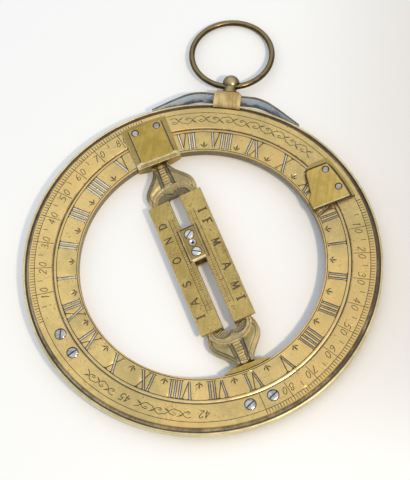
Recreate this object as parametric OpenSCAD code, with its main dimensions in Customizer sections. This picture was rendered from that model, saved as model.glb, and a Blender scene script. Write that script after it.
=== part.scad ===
// Universal equinoctial ring dial of brass, lying folded flat.
// Two nested rings, a slotted bridge on the polar axis between them, and a suspension that slides
// on the rim. Millimetres. The dial lies on its back: +Z is out of the face, +Y is towards the
// suspension, and the origin is the common centre of the rings, at the level of the surface that
// the dial lies on. Pieces of the dial are drawn in dial axes: x along the equator, y along the
// polar axis, z from the middle plane of the rings. Pieces of the suspension are drawn with y
// along its stem.

/* [Rings] */
// Outside radius of the meridian ring, over the rim bead
rim_radius = 55; // [53:0.5:58]
// Radial width of the rim bead, the rail that the suspension slide runs on
bead_width = 0.7; // [0.6:0.05:0.8]
// Radial width of the groove between the bead and the face
groove_width = 1.3; // [1.2:0.05:1.5]
// Depth of the groove below the face
groove_depth = 1.2; // [1.1:0.05:1.25]
// How far the crest of the bead lies below the face
bead_drop = 0.5; // [0.4:0.05:0.6]
// Radial width of the meridian ring's engraved face
meridian_band = 7.3; // [7:0.05:7.5]
// Thickness of the meridian ring
ring_thickness = 3.6; // [3.5:0.05:3.8]
// Radial width of the hour ring
hour_band = 7.7; // [7.5:0.05:7.9]
// Thickness of the hour ring
hour_thickness = 3.1; // [2.9:0.05:3.2]
// Width of the small bevel on the edges of the hour ring
hour_bevel = 0.2; // [0.1:0.05:0.4]

/* [Setting at rest] */
// Angle round the rim from the equator axis to the suspension, in degrees
rest_latitude = 60; // [50:1:65]
// Angle that the bridge stands turned about the polar axis, in degrees
bridge_turn = 9; // [0:1:12]
// Place of the pinhole along the bridge, towards the front bracket
cursor_place = 6; // [0:0.5:10]
// Angle that the finger loop leans to one side, in degrees
loop_lean = 6.5; // [0:0.5:7]

/* [Bridge] */
// Width over the two calendar strips
bridge_width = 17.7; // [17:0.1:18.5]
// Length of the calendar strips
strip_length = 45.3; // [44.5:0.1:46]
// Thickness of a calendar strip
strip_thickness = 1; // [0.8:0.05:1.2]
// Thickness of the bridge frame under the strips
frame_thickness = 2.4; // [2.2:0.1:2.6]
// Width of the slot that the cursor slides in
slot_width = 3.7; // [3.5:0.1:3.9]
// Length of the slot
slot_length = 48; // [47:0.2:49]
// Radius of the corners at the ends of the slot
slot_corner = 0.7; // [0.4:0.05:1]
// Greatest width of the leaf-shaped ends of the frame
leaf_width = 16.2; // [15.6:0.1:16.8]
// Distance from the end of the neck to the widest place of the leaf
leaf_depth = 9.2; // [8.6:0.1:9.8]
// How far the frame draws in from the leaf to the rails
rail_set_in = 1.1; // [0.9:0.1:1.3]
// Width of the neck that carries the pivot
neck_width = 5.8; // [5.2:0.1:6.2]
// Radius of the pivot pins of the bridge
bridge_pin_radius = 0.75; // [0.65:0.05:0.85]
// Length of a bridge pivot pin inside the neck
bridge_pin_grip = 4; // [3:0.5:5]

/* [Brackets and stop plates] */
// Width of a bracket's foot at its outer end
bracket_width = 15.2; // [14.6:0.1:15.8]
// How much narrower the foot is at its inner end
bracket_taper = 1.1; // [0.8:0.1:1.4]
// Width of the raised table of a bracket
table_width = 10.7; // [10.2:0.1:11.2]
// Height of a bracket or stop plate above the ring
plate_height = 2; // [1.9:0.05:2.1]
// Height of the step round the raised table
step_height = 0.9; // [0.7:0.05:1.1]
// Width of the step at the outer end of a plate
step_width = 1.6; // [1.4:0.05:1.8]
// Width of the step at the far end of a stop plate
stop_step_width = 2.2; // [2:0.05:2.4]
// Distance from the groove to the outer end of a plate
plate_setback = 1.5; // [1.3:0.05:1.7]
// Distance from the flat inner face of a bracket's lip to its raised table
lip_bevel = 1.2; // [1:0.05:1.4]
// Thickness of a bracket's lip in its middle
lip_thickness = 1.6; // [1.5:0.05:1.8]
// How far the ends of a bracket's lip draw back towards the hour ring
lip_draw = 0.6; // [0.5:0.05:0.7]
// Length of the flat middle of a bracket's lip
lip_flat = 8.4; // [8:0.1:9]
// Length of a stop plate along the ring, from its stop edge
stop_length = 15.1; // [14.7:0.05:15.5]
// Distance from the hour ring's bore to the far inner corner of a stop plate
stop_shoulder = 5.6; // [5.3:0.05:5.9]
// Distance from the hour ring's bore to the swell of a stop plate's inner side
stop_hip = 2.2; // [2:0.05:2.4]
// Distance from the hour ring's bore to the hollow of a stop plate's inner side
stop_waist = 1.5; // [1.3:0.05:1.7]

/* [Screws and pins] */
// Radius of a plate screw's shank
screw_radius = 1; // [0.9:0.05:1.1]
// Radius of a plate screw's head
screw_head_radius = 1.65; // [1.5:0.05:1.75]
// Height of a plate screw's head
screw_head_height = 0.9; // [0.8:0.05:1]
// Depth that a plate screw's head is let into the ring
screw_sink = 0.6; // [0.5:0.05:0.7]
// Distance from a bracket screw to the polar axis
bracket_screw_side = 3.6; // [3.4:0.05:3.7]
// Distance from the rim to a plate screw
screw_margin = 6.8; // [6.6:0.05:7]
// Distance from the stop edge to the nearer screw of a stop plate
stop_screw_near = 4.1; // [3.8:0.1:4.4]
// Distance between the two screws of a stop plate
stop_screw_pitch = 7; // [6.8:0.1:7.2]
// Width of a screwdriver slot
driver_slot = 0.5; // [0.4:0.05:0.6]
// Radius of the hour ring's pivot pins
hour_pin_radius = 0.9; // [0.8:0.05:1]
// Length of an hour ring pivot pin inside the hour ring
hour_pin_grip = 3.5; // [3:0.1:4]
// Length of an hour ring pivot pin inside the meridian ring
hour_pin_root = 6.8; // [6:0.1:7]

/* [Cursor] */
// Length of the cursor along the slot
cursor_length = 11.5; // [11.2:0.1:12]
// Width of the cursor plates
cursor_width = 5.8; // [5.5:0.1:6.2]
// Thickness of the cursor's front plate over its side rims
cursor_thickness = 1.2; // [1.1:0.05:1.3]
// Depth of the trough between the side rims
cursor_trough = 0.4; // [0.3:0.05:0.45]
// Width of a side rim
cursor_rim = 0.5; // [0.4:0.05:0.6]
// Length of the tongue that keeps the cursor straight in the slot
tongue_length = 7.9; // [7.5:0.1:8.3]
// Thickness of the cursor's back plate
cursor_back_thickness = 1; // [0.8:0.05:1.2]
// Distance from the pinhole to each cursor screw
cursor_screw_pitch = 3.1; // [3:0.05:3.2]
// Radius of a cursor screw's shank
cursor_screw_radius = 0.65; // [0.55:0.05:0.75]
// Radius of a cursor screw's head
cursor_head_radius = 1.45; // [1.35:0.05:1.55]
// Radius of the bush round the pinhole
bush_radius = 1.1; // [1:0.05:1.15]
// Radius of the pinhole
pinhole_radius = 0.3; // [0.2:0.05:0.4]

/* [Suspension] */
// Width of the slide yoke along the rim
yoke_width = 8.6; // [8.2:0.1:9]
// Width of the yoke at its shoulder, under the swivel
yoke_shoulder = 5.6; // [5.2:0.1:6]
// Bevel round the outer end of the yoke
yoke_bevel = 0.7; // [0.5:0.05:0.8]
// Thickness of the yoke's outer wall
yoke_wall = 1.4; // [1.3:0.05:1.5]
// Half of the yoke's height across the rim
yoke_half = 3.5; // [3.4:0.05:3.7]
// Distance from the rim to the inner side of the bow spring
spring_stand = 2.05; // [2:0.05:2.2]
// Thickness of the bow spring
spring_thickness = 0.55; // [0.45:0.05:0.65]
// Height of the bow spring across the rim
spring_height = 5.8; // [5.6:0.05:6]
// Half of the length of the straight middle of the bow spring
spring_bend = 7.5; // [7:0.1:8]
// Half of the length that the bow spring spans along the rim
spring_span = 23.6; // [23.2:0.1:24]
// Thickness of the bow spring at its tips
spring_tip = 0.25; // [0.2:0.05:0.4]
// Height of the bow spring at its tips
spring_tip_height = 2.9; // [2.6:0.1:3.2]
// Half of the length over which the bow spring keeps its full height
spring_shoulder = 13; // [12:0.5:14]
// Radius of the swivel's ball
ball_radius = 2.8; // [2.7:0.05:2.9]
// Height of the collar under the ball
collar_height = 1.9; // [1.8:0.05:2.1]
// Radius of the collar under the ball
collar_radius = 2.35; // [2.2:0.05:2.4]
// Radius of the swivel's stem
stem_radius = 1; // [0.9:0.05:1.1]
// Radius of the burr that is riveted on the stem
burr_radius = 1.8; // [1.7:0.05:1.9]
// Thickness of the riveted burr
burr_thickness = 0.7; // [0.6:0.05:0.8]
// Radius of the finger loop, at the middle of its wire
loop_radius = 13.05; // [12.5:0.05:13.5]
// Radius of the loop's wire
wire_radius = 0.95; // [0.85:0.05:1]

/* [Clearances] */
// Gap between the two rings
ring_gap = 0.3; // [0.25:0.05:0.5]
// Gap between a bracket's lip and the hour ring
lip_gap = 0.2; // [0.15:0.05:0.35]
// Gap between a bracket's lip and the neck of the bridge
neck_gap = 0.3; // [0.25:0.05:0.4]
// Gap between the standing hour ring and the edge of a stop plate
stop_gap = 0.2; // [0.15:0.05:0.25]
// Radial clearance of a running pin in its hole
pin_clearance = 0.05; // [0.03:0.01:0.08]
// Radial clearance of a fixed pin or screw in its hole
fixed_clearance = 0.02; // [0.01:0.01:0.03]
// Clearance of the suspension slide on the rim
slide_clearance = 0.15; // [0.12:0.01:0.2]
// Clearance of the cursor in the slot and on the strips
cursor_clearance = 0.08; // [0.06:0.01:0.1]

/* [Hidden] */

$fn = 72;
ring_fn = 144;
curve_steps = 12;
over = 0.5;

brass = "#b8973f";
olive_brass = "#a88a42";
dark_brass = "#7d6837";
bright_steel = "#b9b7b2";
grey_steel = "#8b949c";

groove_outer = rim_radius - bead_width;
face_radius = groove_outer - groove_width;
meridian_bore = face_radius - meridian_band;
hour_radius = meridian_bore - ring_gap;
hour_bore = hour_radius - hour_band;
half_ring = ring_thickness / 2;
half_hour = hour_thickness / 2;
bead_half = half_ring - bead_drop;
web_half = half_ring - groove_depth;
middle_height = half_ring + plate_height;
dial_turn = 90 - rest_latitude;

lip_radius = hour_bore - lip_gap;
lip_face = lip_radius - lip_thickness;
plate_outer = face_radius - plate_setback;
table_outer = plate_outer - step_width;
table_inner = lip_face + lip_bevel;
screw_ring = rim_radius - screw_margin;
stop_edge = half_hour + stop_gap;
stop_hip_share = 0.65;
stop_waist_share = 0.4;
stop_toe_share = 0.2;
screw_tip_drop = 0.15;

neck_end = lip_face - neck_gap;
half_frame = frame_thickness / 2;
strip_top = half_frame + strip_thickness;
cursor_seat = strip_top + cursor_clearance;
cursor_floor = cursor_seat + cursor_thickness - cursor_trough;
cursor_back_top = -half_frame - cursor_clearance;
cursor_back_under = cursor_back_top - cursor_back_thickness;
cursor_head_sink = 0.35;
cursor_head_height = 0.75;

bow_lead = 4.5;
bow_reach = 8.5;
bow_lean = 30;
spring_inner = rim_radius + spring_stand;
spring_outer = spring_inner + spring_thickness;
yoke_end = spring_outer + fixed_clearance + yoke_wall;
yoke_mouth = face_radius + slide_clearance;
half_spring = spring_height / 2;
collar_foot = yoke_end + pin_clearance;
ball_centre = collar_foot + collar_height + 0.8 * ball_radius;
eye_centre = ball_centre - 0.4 * ball_radius;
wire_sag = loop_radius - sqrt(pow(loop_radius, 2) - pow(ball_radius, 2));
eye_radius = wire_radius + wire_sag + ball_radius * tan(loop_lean) + slide_clearance;
loop_drop = asin((middle_height - wire_radius) / (loop_radius * (1 + cos(loop_lean))));

// Places a shape drawn in dial axes.
module in_dial() translate([0, 0, middle_height]) rotate(dial_turn) children();

// Places a shape drawn with its y axis along the suspension's stem.
module in_hanger() translate([0, 0, middle_height]) children();

// Places a shape drawn on the bridge, which stands a little turned about the polar axis.
module on_bridge() in_dial() rotate([0, -bridge_turn, 0]) children();

// Places a shape drawn about the pinhole.
module on_cursor() on_bridge() translate([0, cursor_place, 0]) children();

// Turns a front piece over to the back of the ring at the opposite pole.
module opposite_pole() rotate([180, 0, 0]) children();

// Draws a front piece through the centre, as the opposite-handed piece on the back.
module through_centre() mirror([0, 0, 1]) rotate(180) children();

// A cylinder along y from one distance to another.
module y_rod(r, from, to) translate([0, from, 0]) rotate([-90, 0, 0]) cylinder(r = r, h = to - from);

// A cylinder along x from one distance to another.
module x_rod(r, from, to) translate([from, 0, 0]) rotate([0, 90, 0]) cylinder(r = r, h = to - from);

// Points of a cubic curve from a to d with control points b and c, without the last one.
function cubic(a, b, c, d) = [for (i = [0:curve_steps - 1]) let (t = i / curve_steps, u = 1 - t)
    a * pow(u, 3) + 3 * b * pow(u, 2) * t + 3 * c * u * pow(t, 2) + d * pow(t, 3)];

// A list of points in reverse order.
function reversed(points) = [for (i = [len(points) - 1:-1:0]) points[i]];

// Points mirrored in the y axis and in the x axis, in reverse order.
function across_y(points) = [for (p = reversed(points)) [-p.x, p.y]];
function across_x(points) = [for (p = reversed(points)) [p.x, -p.y]];

// Height of a circle's edge above the x axis.
function arc_height(r, x) = sqrt(pow(r, 2) - pow(x, 2));

// Upper half of the meridian ring's section, as radius and height, with a bead on the rim.
// Grown by g, it is the room that the slide needs round the rim.
function rim_half(g) = [
    [face_radius - g, half_ring + g], [face_radius + g, half_ring + g],
    [face_radius + g, web_half + g], [groove_outer - g, web_half + g],
    [groove_outer - g, bead_half - bead_width / 4 + g],
    [groove_outer + bead_width / 4, bead_half + g],
    [rim_radius - bead_width / 3, bead_half + g],
    [rim_radius + g, bead_half - bead_width / 3]];

module rim_section() polygon(concat(
    [[meridian_bore, half_ring]], [for (i = [1:7]) rim_half(0)[i]],
    across_x([for (i = [1:7]) rim_half(0)[i]]), [[meridian_bore, -half_ring]]));

module rim_room() rotate_extrude($fn = ring_fn)
    polygon(concat([for (i = [2:7]) rim_half(slide_clearance)[i]],
        across_x([for (i = [2:7]) rim_half(slide_clearance)[i]])));

// Places of the screws of a bracket and of a stop plate.
function bracket_screws() = [for (s = [-1, 1])
    [s * bracket_screw_side, arc_height(screw_ring, bracket_screw_side)]];
function stop_screws() = [for (k = [0, 1]) let (y = stop_edge + stop_screw_near + k * stop_screw_pitch)
    [arc_height(screw_ring, y), y]];

// Holes for the screws of a front plate: the shank through the ring, and a seat for the head in its back.
module screw_holes(places) for (p = places) translate([p.x, p.y, -half_ring - over]) {
    cylinder(r = screw_radius + fixed_clearance, h = ring_thickness + 2 * over);
    cylinder(r = screw_head_radius + pin_clearance, h = screw_sink + over);
}

// The meridian ring: an engraved band with a groove and a bead at the rim on both faces.
module meridian_ring() color(brass) in_dial() difference() {
    rotate_extrude($fn = ring_fn) rim_section();
    for (s = [0, 180]) rotate(s)
        x_rod(hour_pin_radius + fixed_clearance, meridian_bore - over, rim_radius + over);
    screw_holes(bracket_screws());
    screw_holes(stop_screws());
    opposite_pole() screw_holes(bracket_screws());
    through_centre() screw_holes(stop_screws());
}

// The hour ring turns on two pins on the equator axis.
module hour_ring() color(brass) in_dial() difference() {
    rotate_extrude($fn = ring_fn) polygon([
        [hour_bore + hour_bevel, half_hour], [hour_bore, half_hour - hour_bevel],
        [hour_bore, hour_bevel - half_hour], [hour_bore + hour_bevel, -half_hour],
        [hour_radius - hour_bevel, -half_hour], [hour_radius, hour_bevel - half_hour],
        [hour_radius, half_hour - hour_bevel], [hour_radius - hour_bevel, half_hour]]);
    for (s = [0, 180]) rotate(s)
        x_rod(hour_pin_radius + pin_clearance, hour_radius - hour_pin_grip - neck_gap, hour_radius + over);
}

// A steel pin, driven in from the rim, that the hour ring turns on.
module hour_pivot() color(bright_steel)
    x_rod(hour_pin_radius, hour_radius - hour_pin_grip, meridian_bore + hour_pin_root);

module hour_pivot_east() in_dial() hour_pivot();
module hour_pivot_west() in_dial() rotate(180) hour_pivot();

// Foot of a bracket: sides that taper inwards, a flat inner face, and an outer end that follows the rim.
module bracket_foot(outer) intersection() {
    circle(r = outer, $fn = ring_fn);
    polygon([
        [(bracket_taper - bracket_width) / 2, lip_face],
        [(bracket_width - bracket_taper) / 2, lip_face],
        [bracket_width / 2, rim_radius], [-bracket_width / 2, rim_radius]]);
}

// Plan of a bracket's lip: flat in the middle, with ends that draw back towards the hour ring.
module lip_plan() intersection() {
    wide = (bracket_width - bracket_taper) / 2;
    circle(r = lip_radius, $fn = ring_fn);
    polygon([
        [-wide, lip_face + lip_draw], [-lip_flat / 2, lip_face], [lip_flat / 2, lip_face],
        [wide, lip_face + lip_draw], [wide, rim_radius], [-wide, rim_radius]]);
}

// A bracket carries one end of the bridge. Its plate is screwed to the meridian ring and reaches over the
// hour ring, and its lip goes down inside the hour ring and holds the pivot.
module bracket() color(olive_brass) difference() {
    union() {
        translate([0, 0, half_ring]) {
            linear_extrude(step_height) bracket_foot(plate_outer);
            linear_extrude(plate_height) intersection() {
                circle(r = table_outer, $fn = ring_fn);
                translate([-table_width / 2, table_inner]) square([table_width, rim_radius - table_inner]);
            }
            bracket_nose();
        }
        translate([0, 0, -half_hour])
            linear_extrude(half_hour + half_ring + step_height / 2) lip_plan();
    }
    y_rod(bridge_pin_radius + pin_clearance, lip_face - over, lip_radius + over);
    for (p = bracket_screws()) translate([p.x, p.y, 0])
        cylinder(r = screw_radius + fixed_clearance, h = half_ring + plate_height + over);
}

// The bevelled end of a bracket over its lip, with mitred corners.
module bracket_nose() intersection() {
    wide = (bracket_width - bracket_taper) / 2;
    rotate([90, 0, 90]) translate([0, 0, -wide]) linear_extrude(2 * wide) polygon([
        [lip_face, 0], [table_inner + over, 0], [table_inner + over, plate_height],
        [table_inner, plate_height], [lip_face, step_height]]);
    translate([0, table_inner + 2 * over, 0]) rotate([90, 0, 0])
        linear_extrude(lip_bevel + 3 * over) polygon([
            [-wide, 0], [wide, 0], [wide, step_height], [table_width / 2, plate_height],
            [-table_width / 2, plate_height], [-wide, step_height]]);
}

module upper_bracket() in_dial() bracket();
module lower_bracket() in_dial() opposite_pole() bracket();

// Plan of a stop plate: a straight stop edge, an outer end that follows the rim, and an ogee inner side.
module stop_plan() {
    far = stop_edge + stop_length;
    shoulder = [hour_bore + stop_shoulder, far];
    hip = [hour_bore + stop_hip, stop_edge + stop_hip_share * stop_length];
    waist = [hour_bore + stop_waist, stop_edge + stop_waist_share * stop_length];
    toe_rise = stop_edge + stop_toe_share * stop_length;
    toe = [arc_height(hour_bore, toe_rise), toe_rise];
    heel = [arc_height(hour_bore, stop_edge), stop_edge];
    intersection() {
        circle(r = plate_outer, $fn = ring_fn);
        polygon(concat(
            [heel, [rim_radius, stop_edge], [rim_radius, far]],
            cubic(shoulder, shoulder - [2.2, 0.6], hip + [0.3, 2.6], hip),
            cubic(hip, hip - [0.3, 1.4], waist + [0.1, 1.4], waist),
            cubic(waist, waist - [0.3, 1.6], toe + [0.5, 1.4], toe),
            [toe]));
    }
}

// A stop plate lies over the hour ring on one side of the equator axis. Its underside stops the hour ring
// when it lies flat, and its straight edge stops it when it stands square to the meridian ring.
module stop_plate() color(olive_brass) translate([0, 0, half_ring]) difference() {
    union() {
        linear_extrude(step_height) stop_plan();
        linear_extrude(plate_height) intersection() {
            stop_plan();
            circle(r = table_outer, $fn = ring_fn);
            translate([0, stop_edge]) square([rim_radius, stop_length - stop_step_width]);
        }
    }
    for (p = stop_screws()) translate([p.x, p.y, -over])
        cylinder(r = screw_radius + fixed_clearance, h = plate_height + 2 * over);
}

module front_stop_plate() in_dial() stop_plate();
module back_stop_plate() in_dial() through_centre() stop_plate();

// A plate screw: its slotted head lies in the back of the ring, and its tip shows in the front plate.
module plate_screw(turn) translate([0, 0, screw_sink - half_ring]) {
    dome = 2.2 * screw_head_radius;
    cylinder(r = screw_radius, h = ring_thickness - screw_sink + plate_height - screw_tip_drop);
    difference() {
        intersection() {
            translate([0, 0, -screw_head_height]) cylinder(r = screw_head_radius, h = screw_head_height);
            translate([0, 0, dome - screw_head_height]) sphere(r = dome);
        }
        rotate(turn) translate([-screw_head_radius - over, -driver_slot / 2, -screw_head_height - over])
            cube([2 * (screw_head_radius + over), driver_slot, over + screw_head_height / 2]);
    }
}

module plate_screws(places) color(bright_steel) for (i = [0, 1])
    translate(places[i]) plate_screw(65 - 50 * i);

module upper_bracket_screws() in_dial() plate_screws(bracket_screws());
module lower_bracket_screws() in_dial() opposite_pole() plate_screws(bracket_screws());
module front_stop_screws() in_dial() plate_screws(stop_screws());
module back_stop_screws() in_dial() through_centre() plate_screws(stop_screws());

// Flank of one end of the bridge frame: a neck that swells in an ogee to a leaf and draws in to the rail.
function leaf_flank() = let (
    neck = [neck_width / 2, neck_end],
    belly = [leaf_width / 2, neck_end - leaf_depth],
    root = [leaf_width / 2 - rail_set_in, strip_length / 2 - rail_set_in / 2],
    swell = [0, 0.4 * leaf_depth],
    draw_in = [rail_set_in / 2, rail_set_in])
    concat(cubic(neck, neck - swell, belly + swell, belly),
        cubic(belly, belly - [0, 1.5 * rail_set_in], root + draw_in, root), [root]);

// The slot with rounded corners, cut through a thickness.
module slot_cut(height) translate([0, 0, -height / 2]) linear_extrude(height)
    offset(r = slot_corner)
        square([slot_width - 2 * slot_corner, slot_length - 2 * slot_corner], center = true);

// The frame of the bridge: leaf-shaped ends joined by two rails, with the slot between them.
module bridge_frame() color(brass) on_bridge() difference() {
    translate([0, 0, -half_frame]) linear_extrude(frame_thickness)
        polygon(concat(leaf_flank(), across_x(leaf_flank()),
            [for (p = leaf_flank()) -p], across_y(leaf_flank())));
    slot_cut(frame_thickness + 2 * over);
    for (s = [0, 180]) rotate(s)
        y_rod(bridge_pin_radius + fixed_clearance, neck_end - bridge_pin_grip, neck_end + over);
}

// A calendar strip lies on one rail of the frame, along the slot.
module calendar_strip() color(olive_brass)
    translate([slot_width / 2, -strip_length / 2, half_frame])
        cube([(bridge_width - slot_width) / 2, strip_length, strip_thickness]);

module calendar_strip_east() on_bridge() calendar_strip();
module calendar_strip_west() on_bridge() rotate(180) calendar_strip();

// A steel pin in the neck of the bridge, which turns in the bracket's lip.
module bridge_pivot() color(bright_steel)
    y_rod(bridge_pin_radius, neck_end - bridge_pin_grip, lip_radius - neck_gap / 2);

module bridge_pivot_upper() on_bridge() bridge_pivot();
module bridge_pivot_lower() on_bridge() opposite_pole() bridge_pivot();

// Holes of the cursor: two for the screws, and the light hole that the pinhole bush sits in.
module cursor_holes() {
    for (s = [-1, 1]) translate([0, s * cursor_screw_pitch, 0]) {
        translate([0, 0, cursor_back_under - over])
            cylinder(r = cursor_screw_radius + fixed_clearance,
                h = cursor_floor - cursor_back_under + 2 * over);
        translate([0, 0, cursor_floor - cursor_head_sink])
            cylinder(r = cursor_head_radius + fixed_clearance, h = cursor_trough + cursor_head_sink + over);
    }
    translate([0, 0, cursor_back_under - over])
        cylinder(r = bush_radius - cursor_head_sink, h = cursor_floor - cursor_back_under + 2 * over);
    translate([0, 0, cursor_floor - cursor_head_sink])
        cylinder(r = bush_radius + fixed_clearance, h = cursor_trough + cursor_head_sink + over);
}

// Side view of the cursor's front plate, with rounded ends.
function cursor_end() = let (h = cursor_length / 2, r = cursor_thickness * 0.9)
    concat([[h, 0]], cubic([h, cursor_thickness - r], [h, cursor_thickness - r / 2],
        [h - r / 2, cursor_thickness], [h - r, cursor_thickness]), [[h - r, cursor_thickness]]);

// The front plate of the cursor: a trough between two side rims, with rounded ends.
module cursor_front_plate() color(brass) on_cursor() difference() {
    translate([-cursor_width / 2, 0, cursor_seat]) rotate([90, 0, 90]) linear_extrude(cursor_width)
        polygon(concat(cursor_end(), across_y(cursor_end())));
    translate([cursor_rim - cursor_width / 2, -cursor_length / 2 - over, cursor_floor])
        cube([cursor_width - 2 * cursor_rim, cursor_length + 2 * over, cursor_trough + over]);
    cursor_holes();
}

// The back plate of the cursor has a tongue that fills the slot and keeps the cursor straight.
module cursor_back_plate() color(brass) on_cursor() difference() {
    tongue = slot_width - 2 * cursor_clearance;
    union() {
        translate([-cursor_width / 2, -cursor_length / 2, cursor_back_under])
            cube([cursor_width, cursor_length, cursor_back_thickness]);
        translate([-tongue / 2, -tongue_length / 2, cursor_back_under])
            cube([tongue, tongue_length, cursor_seat - cursor_back_under]);
    }
    cursor_holes();
}

// The bush with the pinhole that throws the spot of light, dished towards the front.
module pinhole_bush() color(bright_steel) on_cursor() translate([0, 0, cursor_floor - cursor_head_sink])
    difference() {
        cylinder(r = bush_radius, h = cursor_head_height);
        translate([0, 0, -over]) cylinder(r = pinhole_radius, h = cursor_head_height + 2 * over);
        translate([0, 0, cursor_head_height / 2])
            cylinder(r1 = pinhole_radius, r2 = bush_radius * 0.8, h = cursor_head_height / 2 + over / 10);
    }

// A cursor screw with a slotted, slightly domed head.
module cursor_screw() {
    head_base = cursor_floor - cursor_head_sink;
    dome = 2.2 * cursor_head_radius;
    translate([0, 0, cursor_back_under + fixed_clearance])
        cylinder(r = cursor_screw_radius, h = head_base - cursor_back_under);
    translate([0, 0, head_base]) difference() {
        intersection() {
            cylinder(r = cursor_head_radius, h = cursor_head_height);
            translate([0, 0, cursor_head_height - dome]) sphere(r = dome);
        }
        translate([-cursor_head_radius - over, -driver_slot / 2, cursor_head_height / 2])
            cube([2 * (cursor_head_radius + over), driver_slot, cursor_head_height]);
    }
}

module cursor_screws() color(bright_steel) on_cursor() for (s = [-1, 1])
    translate([0, s * cursor_screw_pitch, 0]) rotate(35 * s) cursor_screw();

// Plan of the slide yoke, which narrows to a shoulder under the swivel.
module yoke_plan() {
    slope = (yoke_width - yoke_shoulder) / 2;
    polygon([
        [-yoke_width / 2, face_radius - over], [yoke_width / 2, face_radius - over],
        [yoke_width / 2, yoke_end - slope], [yoke_shoulder / 2, yoke_end],
        [-yoke_shoulder / 2, yoke_end], [-yoke_width / 2, yoke_end - slope]]);
}

// Upper half of the yoke's section along the stem: a swelling back that curves down into the groove.
function yoke_half_section() = let (
    yoke_toe = [yoke_mouth - yoke_bevel / 2, half_ring + slide_clearance]) concat(
    [[yoke_end, yoke_half - yoke_bevel]],
    cubic([yoke_end - yoke_bevel, yoke_half], [rim_radius, yoke_half + 0.15 * yoke_bevel],
        [yoke_mouth + yoke_bevel, yoke_half - 0.3 * yoke_bevel], yoke_toe),
    [yoke_toe, [face_radius - over, yoke_toe.y]]);

// The yoke clips over the rim bead from outside, holds the bow spring and carries the swivel.
module slide_yoke() color(brass) in_hanger() difference() {
    intersection() {
        translate([0, 0, -yoke_half - over]) linear_extrude(2 * (yoke_half + over)) yoke_plan();
        rotate([90, 0, 90]) translate([0, 0, -yoke_width]) linear_extrude(2 * yoke_width)
            polygon(concat(yoke_half_section(), across_x(yoke_half_section())));
        difference() {
            translate([0, 0, -yoke_half - over])
                cylinder(r = yoke_end + over, h = 2 * (yoke_half + over), $fn = ring_fn);
            translate([0, 0, -yoke_half - 2 * over])
                cylinder(r = yoke_mouth, h = 2 * (yoke_half + 2 * over), $fn = ring_fn);
        }
    }
    rim_room();
    translate([-yoke_width, spring_inner - fixed_clearance, -half_spring - fixed_clearance])
        cube([2 * yoke_width, spring_thickness + 2 * fixed_clearance, spring_height + 2 * fixed_clearance]);
    translate([-burr_radius - 2 * slide_clearance, rim_radius - over, -half_spring])
        cube([2 * (burr_radius + 2 * slide_clearance), spring_stand + over, spring_height]);
    y_rod(stem_radius + pin_clearance, spring_inner - over, yoke_end + over);
}

// Half of the line that the middle of the bow spring follows: straight, then in one bow down to the rim.
function spring_line() = let (
    mid = spring_inner + spring_thickness / 2,
    rest = rim_radius + slide_clearance + spring_thickness / 2,
    tip = [spring_span, arc_height(rest, spring_span)])
    concat([[0, mid]], cubic([spring_bend, mid], [spring_bend + bow_lead, mid],
        tip + bow_reach * [-cos(bow_lean), sin(bow_lean)], tip), [tip]);

// The spring line moved to one side by half the spring's thickness, which falls off towards the tip.
function spring_side(side) = let (line = spring_line(), last = len(line) - 1)
    [for (i = [1:last]) let (
        step = i == 1 ? [1, 0] : line[min(i + 1, last)] - line[i - 1],
        along = step / norm(step),
        thickness = spring_thickness - (spring_thickness - spring_tip) * pow((i - 1) / (last - 1), 3))
        line[i] + side * thickness / 2 * [-along.y, along.x]];

// The bow spring presses on the rim on both sides of the yoke, so that the slide stays where it is put.
module slide_spring() color(grey_steel) in_hanger() difference() {
    outer = spring_side(1);
    inner = spring_side(-1);
    end = spring_span + spring_tip;
    half_tip = spring_tip_height / 2;
    intersection() {
        translate([0, 0, -half_spring]) linear_extrude(spring_height)
            polygon(concat(across_y(outer), outer, reversed(inner), reversed(across_y(inner))));
        translate([0, yoke_end, 0]) rotate([90, 0, 0]) linear_extrude(yoke_end - meridian_bore)
            polygon([
                [-spring_shoulder, half_spring + over], [-end, half_tip], [-end, -half_tip],
                [-spring_shoulder, -half_spring - over], [spring_shoulder, -half_spring - over],
                [end, -half_tip], [end, half_tip], [spring_shoulder, half_spring + over]]);
    }
    y_rod(stem_radius + pin_clearance, spring_inner - over, spring_outer + over);
}

// The swivel turns in the yoke: a stem, a waisted collar and a ball with an eye for the loop.
module swivel_ball() color(dark_brass) in_hanger() difference() {
    collar_waist = 0.88 * collar_radius;
    neck_top = ball_centre - arc_height(ball_radius, collar_waist);
    rotate([-90, 0, 0]) union() {
        translate([0, 0, spring_inner - burr_thickness - 2 * slide_clearance])
            cylinder(r = stem_radius, h = collar_foot - spring_inner + burr_thickness + 3 * slide_clearance);
        translate([0, 0, collar_foot])
            cylinder(r1 = collar_radius, r2 = collar_waist, h = neck_top - collar_foot);
        translate([0, 0, ball_centre]) sphere(r = ball_radius);
    }
    translate([0, eye_centre, 0]) x_rod(eye_radius, -2 * ball_radius, 2 * ball_radius);
}

// The burr riveted on the stem's inner end keeps the swivel in the yoke.
module swivel_burr() color(dark_brass) in_hanger() difference() {
    y_rod(burr_radius, spring_inner - burr_thickness - slide_clearance, spring_inner - slide_clearance);
    y_rod(stem_radius + fixed_clearance, rim_radius, spring_outer);
}

// The finger loop hangs in the eye of the ball; as the dial lies, its far side rests on the table.
module suspension_loop() color(dark_brass) in_hanger() translate([0, eye_centre, 0])
    rotate([-loop_drop, 0, 0]) rotate(loop_lean) translate([0, loop_radius, 0])
        rotate_extrude($fn = ring_fn) translate([loop_radius, 0]) circle(r = wire_radius, $fn = 48);

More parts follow.
